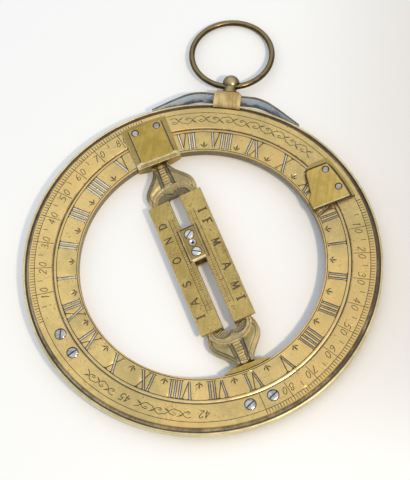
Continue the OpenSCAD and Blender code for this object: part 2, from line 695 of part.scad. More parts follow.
meridian_ring();
upper_bracket();
lower_bracket();
front_stop_plate();
back_stop_plate();
upper_bracket_screws();
lower_bracket_screws();
front_stop_screws();
back_stop_screws();
hour_pivot_east();
hour_pivot_west();
hour_ring();
bridge_frame();
calendar_strip_east();
calendar_strip_west();
bridge_pivot_upper();
bridge_pivot_lower();
cursor_front_plate();
cursor_back_plate();
cursor_screws();
pinhole_bush();
slide_yoke();
slide_spring();
swivel_ball();
swivel_burr();
suspension_loop();
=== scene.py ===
import math

import bmesh
import bpy
from mathutils import Matrix, Vector
from mathutils.geometry import delaunay_2d_cdt


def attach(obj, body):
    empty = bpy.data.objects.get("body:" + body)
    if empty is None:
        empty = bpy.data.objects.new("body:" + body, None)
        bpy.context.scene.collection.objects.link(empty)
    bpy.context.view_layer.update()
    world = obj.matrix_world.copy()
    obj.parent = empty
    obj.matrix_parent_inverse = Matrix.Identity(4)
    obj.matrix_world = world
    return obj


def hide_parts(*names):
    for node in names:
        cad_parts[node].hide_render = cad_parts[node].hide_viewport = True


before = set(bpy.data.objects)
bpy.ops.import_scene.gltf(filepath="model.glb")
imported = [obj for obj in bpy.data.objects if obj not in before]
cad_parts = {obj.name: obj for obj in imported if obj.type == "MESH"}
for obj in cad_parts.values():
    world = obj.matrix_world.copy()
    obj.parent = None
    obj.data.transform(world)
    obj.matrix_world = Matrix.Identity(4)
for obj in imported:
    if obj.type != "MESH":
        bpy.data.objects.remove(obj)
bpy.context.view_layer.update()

# The view. The dial lies folded on a white table and is looked down on from its lower edge through a long
# lens, with the finger loop at the top of the picture.
picture_height = 480
lens_pixels = 1500
camera_data = bpy.data.cameras.new("camera")
camera_data.sensor_width = 36
camera_data.lens = lens_pixels / picture_height * camera_data.sensor_width
camera = bpy.data.objects.new("camera", camera_data)
bpy.context.scene.collection.objects.link(camera)
bpy.context.scene.camera = camera
sight = Vector((-0.1134, 0.3988, -0.9100)).normalized()
right = Vector((0.9873, 0.1476, -0.0584))
right = (right - sight * right.dot(sight)).normalized()
camera.matrix_world = Matrix((right, right.cross(sight), -sight)).transposed().to_4x4()
camera.location = (0.0521, -0.1763, 0.4235)
bpy.context.scene.view_settings.view_transform = "Standard"


# The table and the light. A sheet of white paper with a painted shade that greys it towards the upper right,
# and a painted glow on the left, where the paper is darker but shines by itself to the camera and in
# reflections, lightening the shadows there; a pale cool room that is brightest overhead, and one small warm
# lamp at the lower right, so that the shadows fall to the upper left.
class Tone:
    """A value on its way to a finish. Sums and products of tones become Math nodes."""

    def __init__(self, tree, socket=None):
        self.tree = tree
        self.socket = socket

    def node(self, kind, settings=None, sockets=None, out=0):
        """A node of any type: its settings come first, then the values or tones of its sockets."""
        made = self.tree.nodes.new(kind)
        for key, value in (settings or {}).items():
            setattr(made, key, value)
        for key, value in (sockets or {}).items():
            if isinstance(value, Tone):
                self.tree.links.new(value.socket, made.inputs[key])
            else:
                made.inputs[key].default_value = value
        return Tone(self.tree, made.outputs[out])

    def sum_up(self, operation, first, second):
        return self.node("ShaderNodeMath", {"operation": operation}, {0: first, 1: second})

    def __add__(self, other):
        return self.sum_up("ADD", self, other)

    def __sub__(self, other):
        return self.sum_up("SUBTRACT", self, other)

    def __rsub__(self, other):
        return self.sum_up("SUBTRACT", other, self)

    def __mul__(self, other):
        return self.sum_up("MULTIPLY", self, other)

    __radd__ = __add__
    __rmul__ = __mul__

    def vector(self, operation, other, out=0):
        return self.node("ShaderNodeVectorMath", {"operation": operation}, {0: self, 1: other}, out)

    def part(self, axis):
        return self.node("ShaderNodeSeparateXYZ", sockets={0: self}, out=axis)

    def ramp(self, low, high):
        return self.node("ShaderNodeMapRange", {"interpolation_type": "SMOOTHSTEP"},
                         {"Value": self, "From Min": low, "From Max": high})

    def colours(self, low, high):
        return self.node("ShaderNodeMix", {"data_type": "RGBA"}, {0: self, 6: low, 7: high}, out=2)

    def feed(self, shader, socket):
        self.tree.links.new(self.socket, shader.inputs[socket])


table_half, table_drop = 1.5, 0.00002
paper_white, painted_shade_grey, paper_dim = (0.94, 0.94, 0.93, 1), (0.74, 0.715, 0.69, 1), (0.66, 0.66, 0.65, 1)
glare_none, glare_full, glare_strength = (0, 0, 0, 1), (1, 1, 1, 1), 0.28
shade_across, shade_up, glare_across = (0.0, 0.075), (-0.075, -0.01), (-0.045, 0.02)
square = ((-1, -1), (1, -1), (1, 1), (-1, 1))
table_mesh = bpy.data.meshes.new("table")
table_mesh.from_pydata([(x * table_half, y * table_half, -table_drop) for x, y in square], [],
                       [(0, 1, 2, 3)])
table = bpy.data.objects.new("table", table_mesh)
bpy.context.scene.collection.objects.link(table)
paper = bpy.data.materials.new("paper")
paper.use_nodes = True
paper_shader = paper.node_tree.nodes["Principled BSDF"]
paper_tone = Tone(paper.node_tree)
paper_place = paper_tone.node("ShaderNodeTexCoord", out="Object")
# Painted shade: the paper's colour greys towards the upper right.
painted_shade_right = paper_place.part("X").ramp(*shade_across) * paper_place.part("Y").ramp(*shade_up)
# Painted glow: on the left the paper is darker but shines by itself to camera, glossy and transmission rays.
painted_glow_left = 1 - paper_place.part("X").ramp(*glare_across)
painted_glow_left.colours(painted_shade_right.colours(paper_white, painted_shade_grey), paper_dim).feed(paper_shader, "Base Color")
rays = ("Is Camera Ray", "Is Glossy Ray", "Is Transmission Ray")
seen = sum(paper_tone.node("ShaderNodeLightPath", out=ray) for ray in rays)
(painted_glow_left * seen).colours(glare_none, glare_full).feed(paper_shader, "Emission Color")
paper_shader.inputs["Emission Strength"].default_value = glare_strength
paper_shader.inputs["Roughness"].default_value = 0.9
paper_shader.inputs["Specular IOR Level"].default_value = 0.1
table_mesh.materials.append(paper)

room = bpy.data.worlds.new("room")
room.use_nodes = True
bpy.context.scene.world = room
overhead = (-0.05, 0.25, 0.967)
room_low, room_high = (0.31, 0.37, 0.45, 1), (0.85, 0.91, 0.99, 1)
room_way = Tone(room.node_tree).node("ShaderNodeTexCoord", out="Generated")
room_glow = room_way.vector("DOT_PRODUCT", overhead, "Value").ramp(0.0, 1.0).colours(room_low, room_high)
room_glow.feed(room.node_tree.nodes["Background"], "Color")

lamp_data = bpy.data.lights.new("lamp", "AREA")
lamp_data.size = 0.06
lamp_data.energy = 2.7
lamp_data.color = (1.0, 0.83, 0.58)
lamp = bpy.data.objects.new("lamp", lamp_data)
bpy.context.scene.collection.objects.link(lamp)
lamp.location = (0.354, -0.256, 0.610)
lamp.rotation_euler = (-lamp.location).to_track_quat("-Z", "Y").to_euler()


# The meridian ring: a turned brass band with a groove and a bead round the rim on both faces. Its face is
# engraved with two quadrants of degrees and bands of ornament, and is sunk for the heads of the screws. Old
# dirt lies in the groove and lines the bore. Sizes are in millimetres from the middle of the rings.
MM = 0.001
middle_height, dial_turn = 3.8, 30
to_middle = Matrix.Translation((0, 0, middle_height * MM))
dial_axes = to_middle @ Matrix.Rotation(math.radians(dial_turn), 4, "Z") @ Matrix.Scale(MM, 4)
ring_steps = 240


def ring(radius, height, steps=ring_steps, centre=(0, 0)):
    return [(centre[0] + radius * math.cos(2 * math.pi * i / steps),
             centre[1] + radius * math.sin(2 * math.pi * i / steps), height) for i in range(steps)]


def at_height(loop, height):
    return [(x, y, height) for x, y, _ in loop]


def lies_inside(loop, x, y):
    within = False
    ax, ay = loop[-1][:2]
    for bx, by, _ in loop:
        if (ay > y) != (by > y) and x < (bx - ax) * (y - ay) / (by - ay) + ax:
            within = not within
        ax, ay = bx, by
    return within


def in_metal(loops, x, y):
    """Whether a place lies inside the first loop and outside the others."""
    return lies_inside(loops[0], x, y) and not any(lies_inside(hole, x, y) for hole in loops[1:])


def plan_of(loops):
    """Points and closed edges of several loops, seen from above."""
    points, edges = [], []
    for loop in loops:
        first = len(points)
        edges += [(first + i, first + (i + 1) % len(loop)) for i in range(len(loop))]
        points += [Vector(p[:2]) for p in loop]
    return points, edges


def middle_of(flat, spots):
    return sum(spots[v].x for v in flat) / len(flat), sum(spots[v].y for v in flat) / len(flat)


def heading(line, i):
    """Direction of an open line at one of its points."""
    ahead, behind = line[min(i + 1, len(line) - 1)], line[max(i - 1, 0)]
    return Vector((ahead[0] - behind[0], ahead[1] - behind[1])).normalized()


def run_out(cut):
    """A cut with the places beyond its two ends where the graver comes up out of the metal."""
    longest, scratch = 0.12, 0.004
    ends = []
    for (x, y, half), (px, py, _) in ((cut[0], cut[1]), (cut[-1], cut[-2])):
        way = Vector((x - px, y - py)).normalized() * min(half, longest)
        ends.append((x + way.x, y + way.y, scratch))
    return [ends[0], *cut, ends[1]]


class Blank:
    """The surface of one piece, gathered in millimetres from faces and walls and then set on the dial.
    The kind of a face is the place of its finish in the list that piece is given."""

    def __init__(self):
        self.points, self.faces, self.kinds, self.rounded = [], [], [], []

    def add(self, corners, kind, rounded):
        self.faces.append(tuple(corners))
        self.kinds.append(kind)
        self.rounded.append(rounded)

    def flat(self, corners, kind=0):
        self.add(range(len(self.points), len(self.points) + len(corners)), kind, False)
        self.points += corners

    def wall(self, first, second, closed=True, kind=0):
        """A wall between two lines of as many points each."""
        start, count = len(self.points), len(first)
        self.points += list(first) + list(second)
        for i in range(count if closed else count - 1):
            j = (i + 1) % count
            self.add((start + i, start + j, start + count + j, start + count + i), kind, True)

    def upright(self, line, low, high, closed=True, kind=0):
        """A wall that stands on a line, from one height to another."""
        self.wall(at_height(line, low), at_height(line, high), closed, kind)

    def lathe(self, profile, steps=ring_steps, kind=0):
        loops = [ring(radius, height, steps) for radius, height in profile]
        for first, second in zip(loops, loops[1:]):
            self.wall(first, second, kind=kind)

    def face(self, loops, cuts=(), up=1, kind=0, floor_kind=1, floor_at=lambda x, y: 0.5):
        """A flat face inside the first loop and outside the others, with cuts of the graver. Narrow cuts are
        V-shaped; broad ones have a flat floor, whose share of the width may vary over the face."""
        slope, deepest, broad = 0.8, 0.2, 0.25
        points, edges = plan_of(loops)
        heights = [p[2] for loop in loops for p in loop]
        rim_count, level = len(points), heights[0]
        quads, shades, cells = [], [], {}
        for cut in map(run_out, cuts):
            floor = floor_at(*cut[0][:2])
            shares = (1, floor, -floor, -1) if max(half for *_, half in cut) > broad else (1, 0, -1)
            rows = []
            for i, (x, y, half) in enumerate(cut):
                along = heading(cut, i) * half
                rows.append(len(points))
                points += [Vector((x - along.y * share, y + along.x * share)) for share in shares]
            for a, b in zip(rows, rows[1:]):
                quads += [(a + k + 1, b + k + 1, b + k, a + k) for k in range(len(shares) - 1)]
                shades += [1, floor_kind, 1] if len(shares) == 4 else [1, 1]
            for (ax, ay, aw), (bx, by, bw) in zip(cut, cut[1:]):
                reach = max(aw, bw)
                for cx in range(math.floor(min(ax, bx) - reach), math.floor(max(ax, bx) + reach) + 1):
                    for cy in range(math.floor(min(ay, by) - reach), math.floor(max(ay, by) + reach) + 1):
                        cells.setdefault((cx, cy), []).append((ax, ay, aw, bx - ax, by - ay, bw - aw))
        spots, _, flats, from_point, _, from_quad = delaunay_2d_cdt(points, edges, quads, 0, 1e-5, True)
        start = len(self.points)
        on_rim = []
        for spot, sources in zip(spots, from_point):
            rim = next((s for s in sources if s < rim_count), None)
            on_rim.append(rim is not None)
            if rim is not None:
                self.points.append((spot.x, spot.y, heights[rim]))
                continue
            depth = 0.0
            for ax, ay, aw, dx, dy, dw in cells.get((math.floor(spot.x), math.floor(spot.y)), ()):
                t = ((spot.x - ax) * dx + (spot.y - ay) * dy) / max(dx * dx + dy * dy, 1e-9)
                t = min(1.0, max(0.0, t))
                gap = math.hypot(spot.x - ax - dx * t, spot.y - ay - dy * t)
                depth = max(depth, min(deepest, aw + dw * t - gap))
            self.points.append((spot.x, spot.y, level - up * slope * depth))
        for flat, quad in zip(flats, from_quad):
            if all(on_rim[v] for v in flat) and not in_metal(loops, *middle_of(flat, spots)):
                continue
            self.add([start + v for v in flat], max(shades[q] for q in quad) if quad else kind, False)

    def carved(self, loops, grid, height, kind_at=lambda x, y: 0):
        """A face worked up and down inside the first loop and outside the others, over a grid of points."""
        points, edges = plan_of(loops)
        points += [Vector(p) for p in grid if in_metal(loops, *p)]
        spots, _, flats, *_ = delaunay_2d_cdt(points, edges, [], 0, 1e-5, True)
        start = len(self.points)
        self.points += [(spot.x, spot.y, height(spot.x, spot.y)) for spot in spots]
        for flat in flats:
            middle = middle_of(flat, spots)
            if in_metal(loops, *middle):
                self.add([start + v for v in flat], kind_at(*middle), True)

    def piece(self, name, axes, finishes, body, node):
        """The finished piece, which stands for a node and rides on its body."""
        sharpest_round = math.radians(35)
        mesh = bpy.data.meshes.new(name)
        mesh.from_pydata([axes @ Vector(p) for p in self.points], [], self.faces)
        for finish in finishes:
            mesh.materials.append(finish)
        mesh.polygons.foreach_set("material_index", self.kinds)
        mesh.polygons.foreach_set("use_smooth", self.rounded)
        work = bmesh.new()
        work.from_mesh(mesh)
        bmesh.ops.remove_doubles(work, verts=work.verts, dist=1e-7)
        bmesh.ops.dissolve_degenerate(work, dist=1e-8, edges=work.edges)
        bmesh.ops.recalc_face_normals(work, faces=work.faces)
        work.to_mesh(mesh)
        work.free()
        mesh.set_sharp_from_angle(angle=sharpest_round)
        made = bpy.data.objects.new(name, mesh)
        bpy.context.scene.collection.objects.link(made)
        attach(made, body)
        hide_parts(node)


def on_ring(radius, angle):
    return radius * math.cos(math.radians(angle)), radius * math.sin(math.radians(angle))


def arc_cut(radius, start, end, half):
    count = max(2, round(abs(end - start) / 360 * ring_steps))
    return [(*on_ring(radius, start + (end - start) * i / count), half) for i in range(count + 1)]


def tick(angle, inner, outer, half):
    return [(*on_ring(inner, angle), half), (*on_ring(outer, angle), half)]


def oval(x, y, wide, high):
    tenth = 0.6283
    return [(x + wide * math.sin(tenth * i), y + high * math.cos(tenth * i), 1.0) for i in range(11)]


FIGURES = {
    "0": [oval(0.3, 0.5, 0.26, 0.5)],
    "1": [[(0.1, 0.76, 0.5), (0.34, 1.0, 0.8)], [(0.34, 1.0, 1.2), (0.34, 0.0, 1.2)]],
    "2": [[(0.04, 0.74, 1), (0.12, 0.94, 1), (0.32, 1.0, 1), (0.5, 0.9, 1.2), (0.52, 0.7, 1.2),
           (0.3, 0.35, 1), (0.02, 0.02, 0.8)], [(0.02, 0.0, 1.2), (0.58, 0.0, 0.8)]],
    "3": [[(0.05, 0.9, 1), (0.28, 1.0, 1), (0.48, 0.86, 1.2), (0.44, 0.64, 1), (0.24, 0.54, 0.8)],
          [(0.24, 0.54, 0.8), (0.5, 0.44, 1), (0.54, 0.22, 1.2), (0.38, 0.03, 1), (0.14, 0.0, 1),
           (0.02, 0.12, 1)]],
    "4": [[(0.42, 1.0, 0.8), (0.02, 0.32, 0.8)], [(0.0, 0.32, 0.9), (0.6, 0.32, 0.9)],
          [(0.42, 1.0, 1.2), (0.42, 0.0, 1.2)]],
    "5": [[(0.54, 1.0, 1), (0.14, 1.0, 1)], [(0.14, 1.0, 0.9), (0.08, 0.56, 0.9)],
          [(0.08, 0.56, 0.8), (0.3, 0.62, 1), (0.52, 0.48, 1.2), (0.54, 0.22, 1.2), (0.36, 0.02, 1),
           (0.12, 0.0, 1), (0.02, 0.1, 1)]],
    "6": [[(0.48, 0.96, 0.8), (0.22, 0.78, 1), (0.06, 0.46, 1.2), (0.06, 0.2, 1.2), (0.2, 0.02, 1),
           (0.4, 0.04, 1), (0.54, 0.22, 1), (0.46, 0.42, 1), (0.28, 0.5, 0.9), (0.08, 0.36, 0.7)]],
    "7": [[(0.04, 1.0, 1.2), (0.56, 1.0, 1)], [(0.56, 1.0, 0.8), (0.3, 0.5, 1.2), (0.2, 0.0, 1.2)]],
    "8": [oval(0.3, 0.77, 0.2, 0.22), oval(0.3, 0.28, 0.26, 0.28)],
    "9": [[(0.12, 0.04, 0.8), (0.38, 0.22, 1), (0.54, 0.54, 1.2), (0.54, 0.8, 1.2), (0.4, 0.98, 1),
           (0.2, 0.96, 1), (0.06, 0.78, 1), (0.14, 0.58, 1), (0.32, 0.5, 0.9), (0.52, 0.64, 0.7)]],
}


def set_mark(shapes, x, y, up, height, half, lean=0.0, middle=0.3):
    """Cuts of one figure or letter, centred on a point with its top towards a direction."""
    cuts = []
    for shape in shapes:
        cuts.append([])
        for u, v, weight in shape:
            across = (u - middle + lean * (v - 0.5)) * height
            along = (v - 0.5) * height
            cuts[-1].append((x + across * up[1] + along * up[0], y - across * up[0] + along * up[1],
                             half * weight))
    return cuts


figure_size, figure_lean = 2.2, 0.25


def round_number(number, radius, angle, half, pitch):
    cuts = []
    for place, figure in enumerate(number):
        turn = angle - math.degrees((place - (len(number) - 1) / 2) * pitch / radius)
        x, y = on_ring(radius, turn)
        cuts += set_mark(FIGURES[figure], x, y, on_ring(1, turn), figure_size, half, figure_lean)
    return cuts


fine_cut, figure_cut, number_cut = 0.10, 0.11, 0.13
number_line, ornament_line = 48.7, 48.9
number_pitch, ornament_pitch = 2.4, 1.7


def leaf_scroll(start, end, swing, pitch):
    """A running scroll of S-curves with a leaf in each bay, along the ring from one angle to another."""
    stem = [(0.0, -0.75, 1), (0.2, -1.0, 1), (0.42, -0.7, 1), (0.6, 0.0, 1), (0.8, 0.62, 1), (1.0, 0.75, 1)]
    curl = [(0.6, 0.0, 0.7), (0.42, 0.45, 1.1), (0.2, 0.62, 1.3), (0.06, 0.3, 1.2), (0.16, 0.02, 1.0),
            (0.3, 0.12, 0.8)]
    leaf = [(0.5, -0.15, 0.4), (0.72, -0.45, 2.0), (0.95, -0.95, 0.3)]
    bays = round(math.radians(start - end) * ornament_line / pitch)
    step = (end - start) / bays
    cuts = []
    for bay in range(bays):
        side = 1 if bay % 2 else -1
        at = start + step * bay
        for shape in (stem, curl, leaf):
            cuts.append([(*on_ring(ornament_line + side * swing * v, at + step * u), figure_cut * w)
                         for u, v, w in shape])
    return cuts


face_inner, face_outer, face_height = 45.98, 52.85, 1.8
degree_line, degree_top, ten_foot = 51.25, 52.6, 46.1
five_foot, five_top = 48.9, 50.4
degree_cuts = [arc_cut(degree_line, 0, 360, fine_cut)]
for quadrant_start in (0, 180):
    for degree in range(91):
        angle = quadrant_start - degree
        weight = 1.3 if degree % 5 == 0 else 0.95
        degree_cuts.append(tick(angle, degree_line, degree_top, fine_cut * weight))
        if degree % 10 == 5:
            degree_cuts.append(tick(angle, five_foot, five_top, fine_cut))
        elif degree and degree % 10 == 0:
            degree_cuts.append(tick(angle, ten_foot, degree_line, fine_cut))
            degree_cuts += round_number(str(degree), number_line, angle, figure_cut, number_pitch)
ornament_cuts = leaf_scroll(80, 24, 1.35, 4.2)
ornament_cuts += leaf_scroll(-115, -135, 1.2, 4.0)
ornament_cuts += round_number("42", ornament_line, -110.5, number_cut, ornament_pitch)
ornament_cuts += round_number("45", ornament_line, -139, number_cut, ornament_pitch)
ornament_cuts += leaf_scroll(-143, -156, 1.2, 4.0)

screw_side, screw_ring = 3.6, 48.2
bracket_screws = [(s * screw_side, math.sqrt(screw_ring ** 2 - screw_side ** 2)) for s in (-1, 1)]
stop_screws = [(math.sqrt(screw_ring ** 2 - y ** 2), y) for y in (5.85, 12.85)]
head_seat, shank_hole, seat_depth, hole_steps = 1.84, 1.02, 0.6, 32
front_heads = [(x, -y) for x, y in bracket_screws] + [(-x, -y) for x, y in stop_screws]
back_heads = bracket_screws + stop_screws


def drilled(places, radius, height):
    return [ring(radius, height, hole_steps, place) for place in places]


def is_clear(x, y, holes, margin):
    return all(math.hypot(x - hx, y - hy) > margin for hx, hy in holes)


def clear_of(cuts, holes, margin):
    return [cut for cut in cuts if all(is_clear(x, y, holes, margin) for x, y, _ in cut)]


def broken_round(cut, holes, margin):
    """The runs of a long cut, which is stopped on both sides of each hole."""
    runs = [[]]
    for x, y, half in cut:
        if is_clear(x, y, holes, margin):
            runs[-1].append((x, y, half))
        else:
            runs.append([])
    return [run for run in runs if len(run) > 1]


meridian = Blank()
line_margin, cut_margin = head_seat + 0.3, head_seat + 0.25
front_cuts = broken_round(degree_cuts[0], front_heads, line_margin)
front_cuts += clear_of(degree_cuts[1:] + ornament_cuts, front_heads, cut_margin)
back_cuts = broken_round(degree_cuts[0], back_heads, line_margin)
ring_faces = ((1, front_heads, back_heads, front_cuts), (-1, back_heads, front_heads, back_cuts))
for up, heads, tips, cuts in ring_faces:
    level = up * face_height
    meridian.face([ring(face_outer, level), ring(face_inner, level), *drilled(heads, head_seat, level),
                   *drilled(tips, shank_hole, level)], cuts, up)
groove_wall = [(face_outer, face_height), (53.0, 1.65), (53.0, 0.74)]
groove_floor = [(53.0, 0.74), (53.14, 0.6), (53.75, 0.6)]
groove_rise = [(53.75, 0.6), (54.16, 0.6), (54.3, 0.74)]
bead_half = [(54.3, 0.74), (54.3, 1.08), (54.37, 1.22), (54.52, 1.3), (54.72, 1.3), (54.88, 1.22),
             (54.97, 1.07), (55.0, 0.9)]
bore_bevel = [(face_inner, face_height), (45.7, 1.66)]
bore_half = [(45.7, 1.66), (45.53, 1.4), (45.53, 0)]


def turn_profiles(blank, side, profiles):
    """Profiles turned on one face, each in its own finish."""
    for profile, kind in profiles:
        blank.lathe([(radius, side * height) for radius, height in profile], kind=kind)


for side in (1, -1):
    turn_profiles(meridian, side, ((groove_wall, 0), (groove_floor, 2), (groove_rise, 3)))
meridian.lathe(bead_half + [(radius, -height) for radius, height in reversed(bead_half)], kind=5)
for side in (1, -1):
    turn_profiles(meridian, side, ((bore_bevel, 4), (bore_half, 6)))
for heads, side in ((front_heads, 1), (back_heads, -1)):
    for hole in heads:
        sunk = side * (face_height - seat_depth)
        seat = [(head_seat, side * face_height), (head_seat, sunk), (shank_hole, sunk),
                (shank_hole, -side * face_height)]
        steps = [ring(radius, height, hole_steps, hole) for radius, height in seat]
        for first, second in zip(steps, steps[1:]):
            meridian.wall(first, second, kind=2)


def patina(name, bright, dull, stain, rough, cloud_scale=60, stain_from=0.60, metal=1.0, drift=(0, 0, 0),
           drift_from=(0, 0, 0), filed=0.0, painted_sheen=0.0, warm=None):
    """An old surface: a clouded colour, small dark stains, fine scratches and a soft polish.
    The colour may drift along a direction, by so much a metre, show file marks, carry a painted highlight
    where its surface faces straight up or down, and have warmer patches."""
    finish = bpy.data.materials.new(name)
    finish.use_nodes = True
    shader = finish.node_tree.nodes["Principled BSDF"]
    start = Tone(finish.node_tree)
    place = start.node("ShaderNodeTexCoord", out="Object")

    def noise(scale, detail, stretch=(1, 1, 1)):
        drawn = place.vector("MULTIPLY", stretch)
        return place.node("ShaderNodeTexNoise", sockets={"Vector": drawn, "Scale": scale, "Detail": detail})

    cloud = noise(cloud_scale, 3)
    mottle = noise(480, 4)
    specks = noise(1900, 2)
    scratches = noise(900, 2, (1, 0.06, 1)) + noise(900, 2, (0.06, 1, 1))
    side = place.vector("SUBTRACT", drift_from).vector("DOT_PRODUCT", drift, "Value")
    marks = (noise(1500, 2, (1, 0.03, 0.2)) - 0.5) * filed
    wear = cloud * 0.7 + mottle * 0.45 + side + marks
    # Painted highlight: surfaces that face straight up or down are painted brighter.
    if painted_sheen:
        facing_up = start.node("ShaderNodeTexCoord", out="Normal").part("Z")
        wear = wear + (facing_up * facing_up - 0.75) * painted_sheen
    spots = (specks * 0.7 + mottle * 0.45).ramp(stain_from, stain_from + 0.14)
    plain = wear.ramp(0.40, 0.75).colours((*dull, 1), (*bright, 1))
    if warm:
        plain = (noise(32, 2).ramp(0.48, 0.66) * 0.55).colours(plain, (*warm, 1))
    (spots * 0.55).colours(plain, (*stain, 1)).feed(shader, "Base Color")
    gloss = rough + (mottle - 0.5) * 0.22 + spots * 0.12 + (scratches - 1.0) * 0.12
    gloss.feed(shader, "Roughness")
    shader.inputs["Metallic"].default_value = metal
    relief = mottle * 0.5 + specks * 0.25 + scratches * 0.5
    bump = {"Strength": 0.12, "Distance": 0.00008, "Height": relief}
    start.node("ShaderNodeBump", sockets=bump, out="Normal").feed(shader, "Normal")
    return finish


ring_brass = patina("ring_brass", (0.88, 0.62, 0.24), (0.59, 0.435, 0.175), (0.30, 0.20, 0.08), 0.36, 45,
                    0.64, drift=(-1.6, 0, 0), warm=(0.86, 0.56, 0.20))
cut_brass = patina("cut_brass", (0.15, 0.11, 0.06), (0.07, 0.052, 0.03), (0.03, 0.022, 0.013), 0.55,
                   metal=0.4)
# Bare metal where the black fill has gone, with a painted reflection: paler towards the upper left.
bare_cut_and_glint = patina("bare_cut_and_glint", (0.76, 0.75, 0.69), (0.40, 0.36, 0.26), (0.12, 0.09, 0.055), 0.4, 75,
                  metal=0.25, drift=(-3, 2, 0))
grime = patina("grime", (0.46, 0.39, 0.25), (0.10, 0.08, 0.055), (0.04, 0.03, 0.02), 0.5, 90, metal=0.4,
               drift=(-1.5, -0.5, 0))
edge_dirt = patina("edge_dirt", (0.74, 0.53, 0.22), (0.30, 0.21, 0.10), (0.06, 0.04, 0.022), 0.5, 90,
                   metal=0.6, drift=(1, 4, 0))
bead_brass = patina("bead_brass", (0.88, 0.75, 0.42), (0.62, 0.51, 0.26), (0.26, 0.19, 0.09), 0.34, 90,
                    0.66, metal=0.85)
# Black: old dirt, and painted shade in corners, on the stop plates' walls, at one end of the cursor and in
# the pinhole.
black_dirt_and_shade = patina("black_dirt_and_shade", (0.11, 0.075, 0.045), (0.045, 0.03, 0.018), (0.02, 0.014, 0.008), 0.6,
                    metal=0.1)
seam_dirt = patina("seam_dirt", (0.36, 0.25, 0.11), (0.17, 0.115, 0.055), (0.05, 0.035, 0.02), 0.5, 90,
                   metal=0.3)
meridian.piece("engraved_meridian", dial_axes,
               [ring_brass, cut_brass, grime, black_dirt_and_shade, edge_dirt, bead_brass, seam_dirt],
               "meridian", "meridian_ring")

# The two brackets: filed brass plates with a raised table, screwed to opposite faces of the meridian ring.
# Each reaches over the hour ring, and a lip goes down inside it to hold one pivot of the bridge.
lip_face, lip_radius, lip_foot = 35.9, 37.5, -1.55
lip_flat, lip_draw, lip_edge = 4.2, 0.6, 0.12
plate_outer, table_outer, table_inner = 51.5, 49.9, 37.1
plate_low, step_top, table_top, edge = face_height, 2.7, 3.8, 0.22
foot_half, foot_slope, table_half_width = 7.05, 0.55 / 19.1, 5.35
nose_back, tip_rim, tip_sink = table_inner + 0.5, 1.22, 0.3
nose_bands = (0, 0.1, 0.74, 1)


def inset(loop, width, height):
    """A closed line moved inwards by a width, at another height."""
    moved = []
    for i, (x, y, _) in enumerate(loop):
        ax, ay = loop[i - 1][:2]
        bx, by = loop[(i + 1) % len(loop)][:2]
        first = Vector((x - ax, y - ay)).normalized()
        second = Vector((bx - x, by - y)).normalized()
        inward = Vector((-first.y - second.y, first.x + second.x)).normalized()
        reach = width / max(0.3, inward.x * -first.y + inward.y * first.x)
        moved.append((x + inward.x * reach, y + inward.y * reach, height))
    return moved


def mirrored(point):
    return (-point[0], *point[1:])


def foot_corner(radius):
    """Where the side of the foot meets a circle."""
    y = radius
    for _ in range(8):
        y = math.sqrt(radius ** 2 - (foot_half + foot_slope * (y - lip_face)) ** 2)
    return foot_half + foot_slope * (y - lip_face), y, 0


def arc_between(radius, start, end, count):
    """Points on a circle between two of its points, without those two."""
    a, b = math.atan2(start[1], start[0]), math.atan2(end[1], end[0])
    return [(radius * math.cos(a + (b - a) * i / count), radius * math.sin(a + (b - a) * i / count), 0)
            for i in range(1, count)]


def rounded_end(radius, corner, count):
    """The rounded end of a plate, lip or table, from one corner to the other."""
    return [corner, *arc_between(radius, corner, mirrored(corner), count), mirrored(corner)]


lip_corner = (foot_half, math.sqrt(lip_radius ** 2 - foot_half ** 2), 0)
lip_loop = [mirrored(lip_corner), (-foot_half, lip_face + lip_draw, 0), (-lip_flat, lip_face, 0),
            (lip_flat, lip_face, 0), (foot_half, lip_face + lip_draw, 0),
            *rounded_end(lip_radius, lip_corner, 12)[:-1]]
outer_end = rounded_end(plate_outer, foot_corner(plate_outer), 16)
table_corner = (table_half_width, math.sqrt(table_outer ** 2 - table_half_width ** 2), 0)
table_round = [(table_half_width, nose_back, 0), *rounded_end(table_outer, table_corner, 12),
               (-table_half_width, nose_back, 0)]

plate_brass = patina("plate_brass", (0.60, 0.40, 0.10), (0.43, 0.285, 0.06), (0.24, 0.16, 0.05), 0.34, 90,
                     0.72, filed=0.3)
step_brass = patina("step_brass", (0.49, 0.345, 0.11), (0.34, 0.235, 0.07), (0.14, 0.09, 0.04), 0.40, 90,
                    0.68)
rubbed_brass = patina("rubbed_brass", (0.90, 0.76, 0.44), (0.74, 0.58, 0.27), (0.38, 0.27, 0.11), 0.30, 200,
                      0.72)
wear_and_highlight = patina("wear_and_highlight", (0.96, 0.86, 0.58), (0.72, 0.58, 0.31), (0.40, 0.30, 0.14), 0.3, 300, 0.74,
                  metal=0.45)
lip_brass = patina("lip_brass", (0.42, 0.345, 0.17), (0.29, 0.235, 0.10), (0.14, 0.10, 0.05), 0.36, 200,
                   0.70)


def dirt_line(blank, line, low, reach=0.2, kind=3):
    """Painted shade with old wax and dirt along the foot of a wall, on the right-hand side of the line."""
    climb, skin = 0.14, 0.004
    outer = []
    for i, (x, y, _) in enumerate(line):
        along = heading(line, i) * reach
        outer.append((x + along.y, y - along.x, low + skin))
    blank.wall(at_height(line, low + climb), outer, closed=False, kind=kind)


def tip_holes(plate, places):
    """Holes with a dark rim through the raised table, for the tips of the screws."""
    rims = drilled(places, tip_rim, table_top)
    for hole, rim in zip(drilled(places, shank_hole, table_top - tip_sink), rims):
        plate.wall(rim, hole, kind=3)
        plate.upright(hole, table_top - tip_sink, plate_low, kind=1)


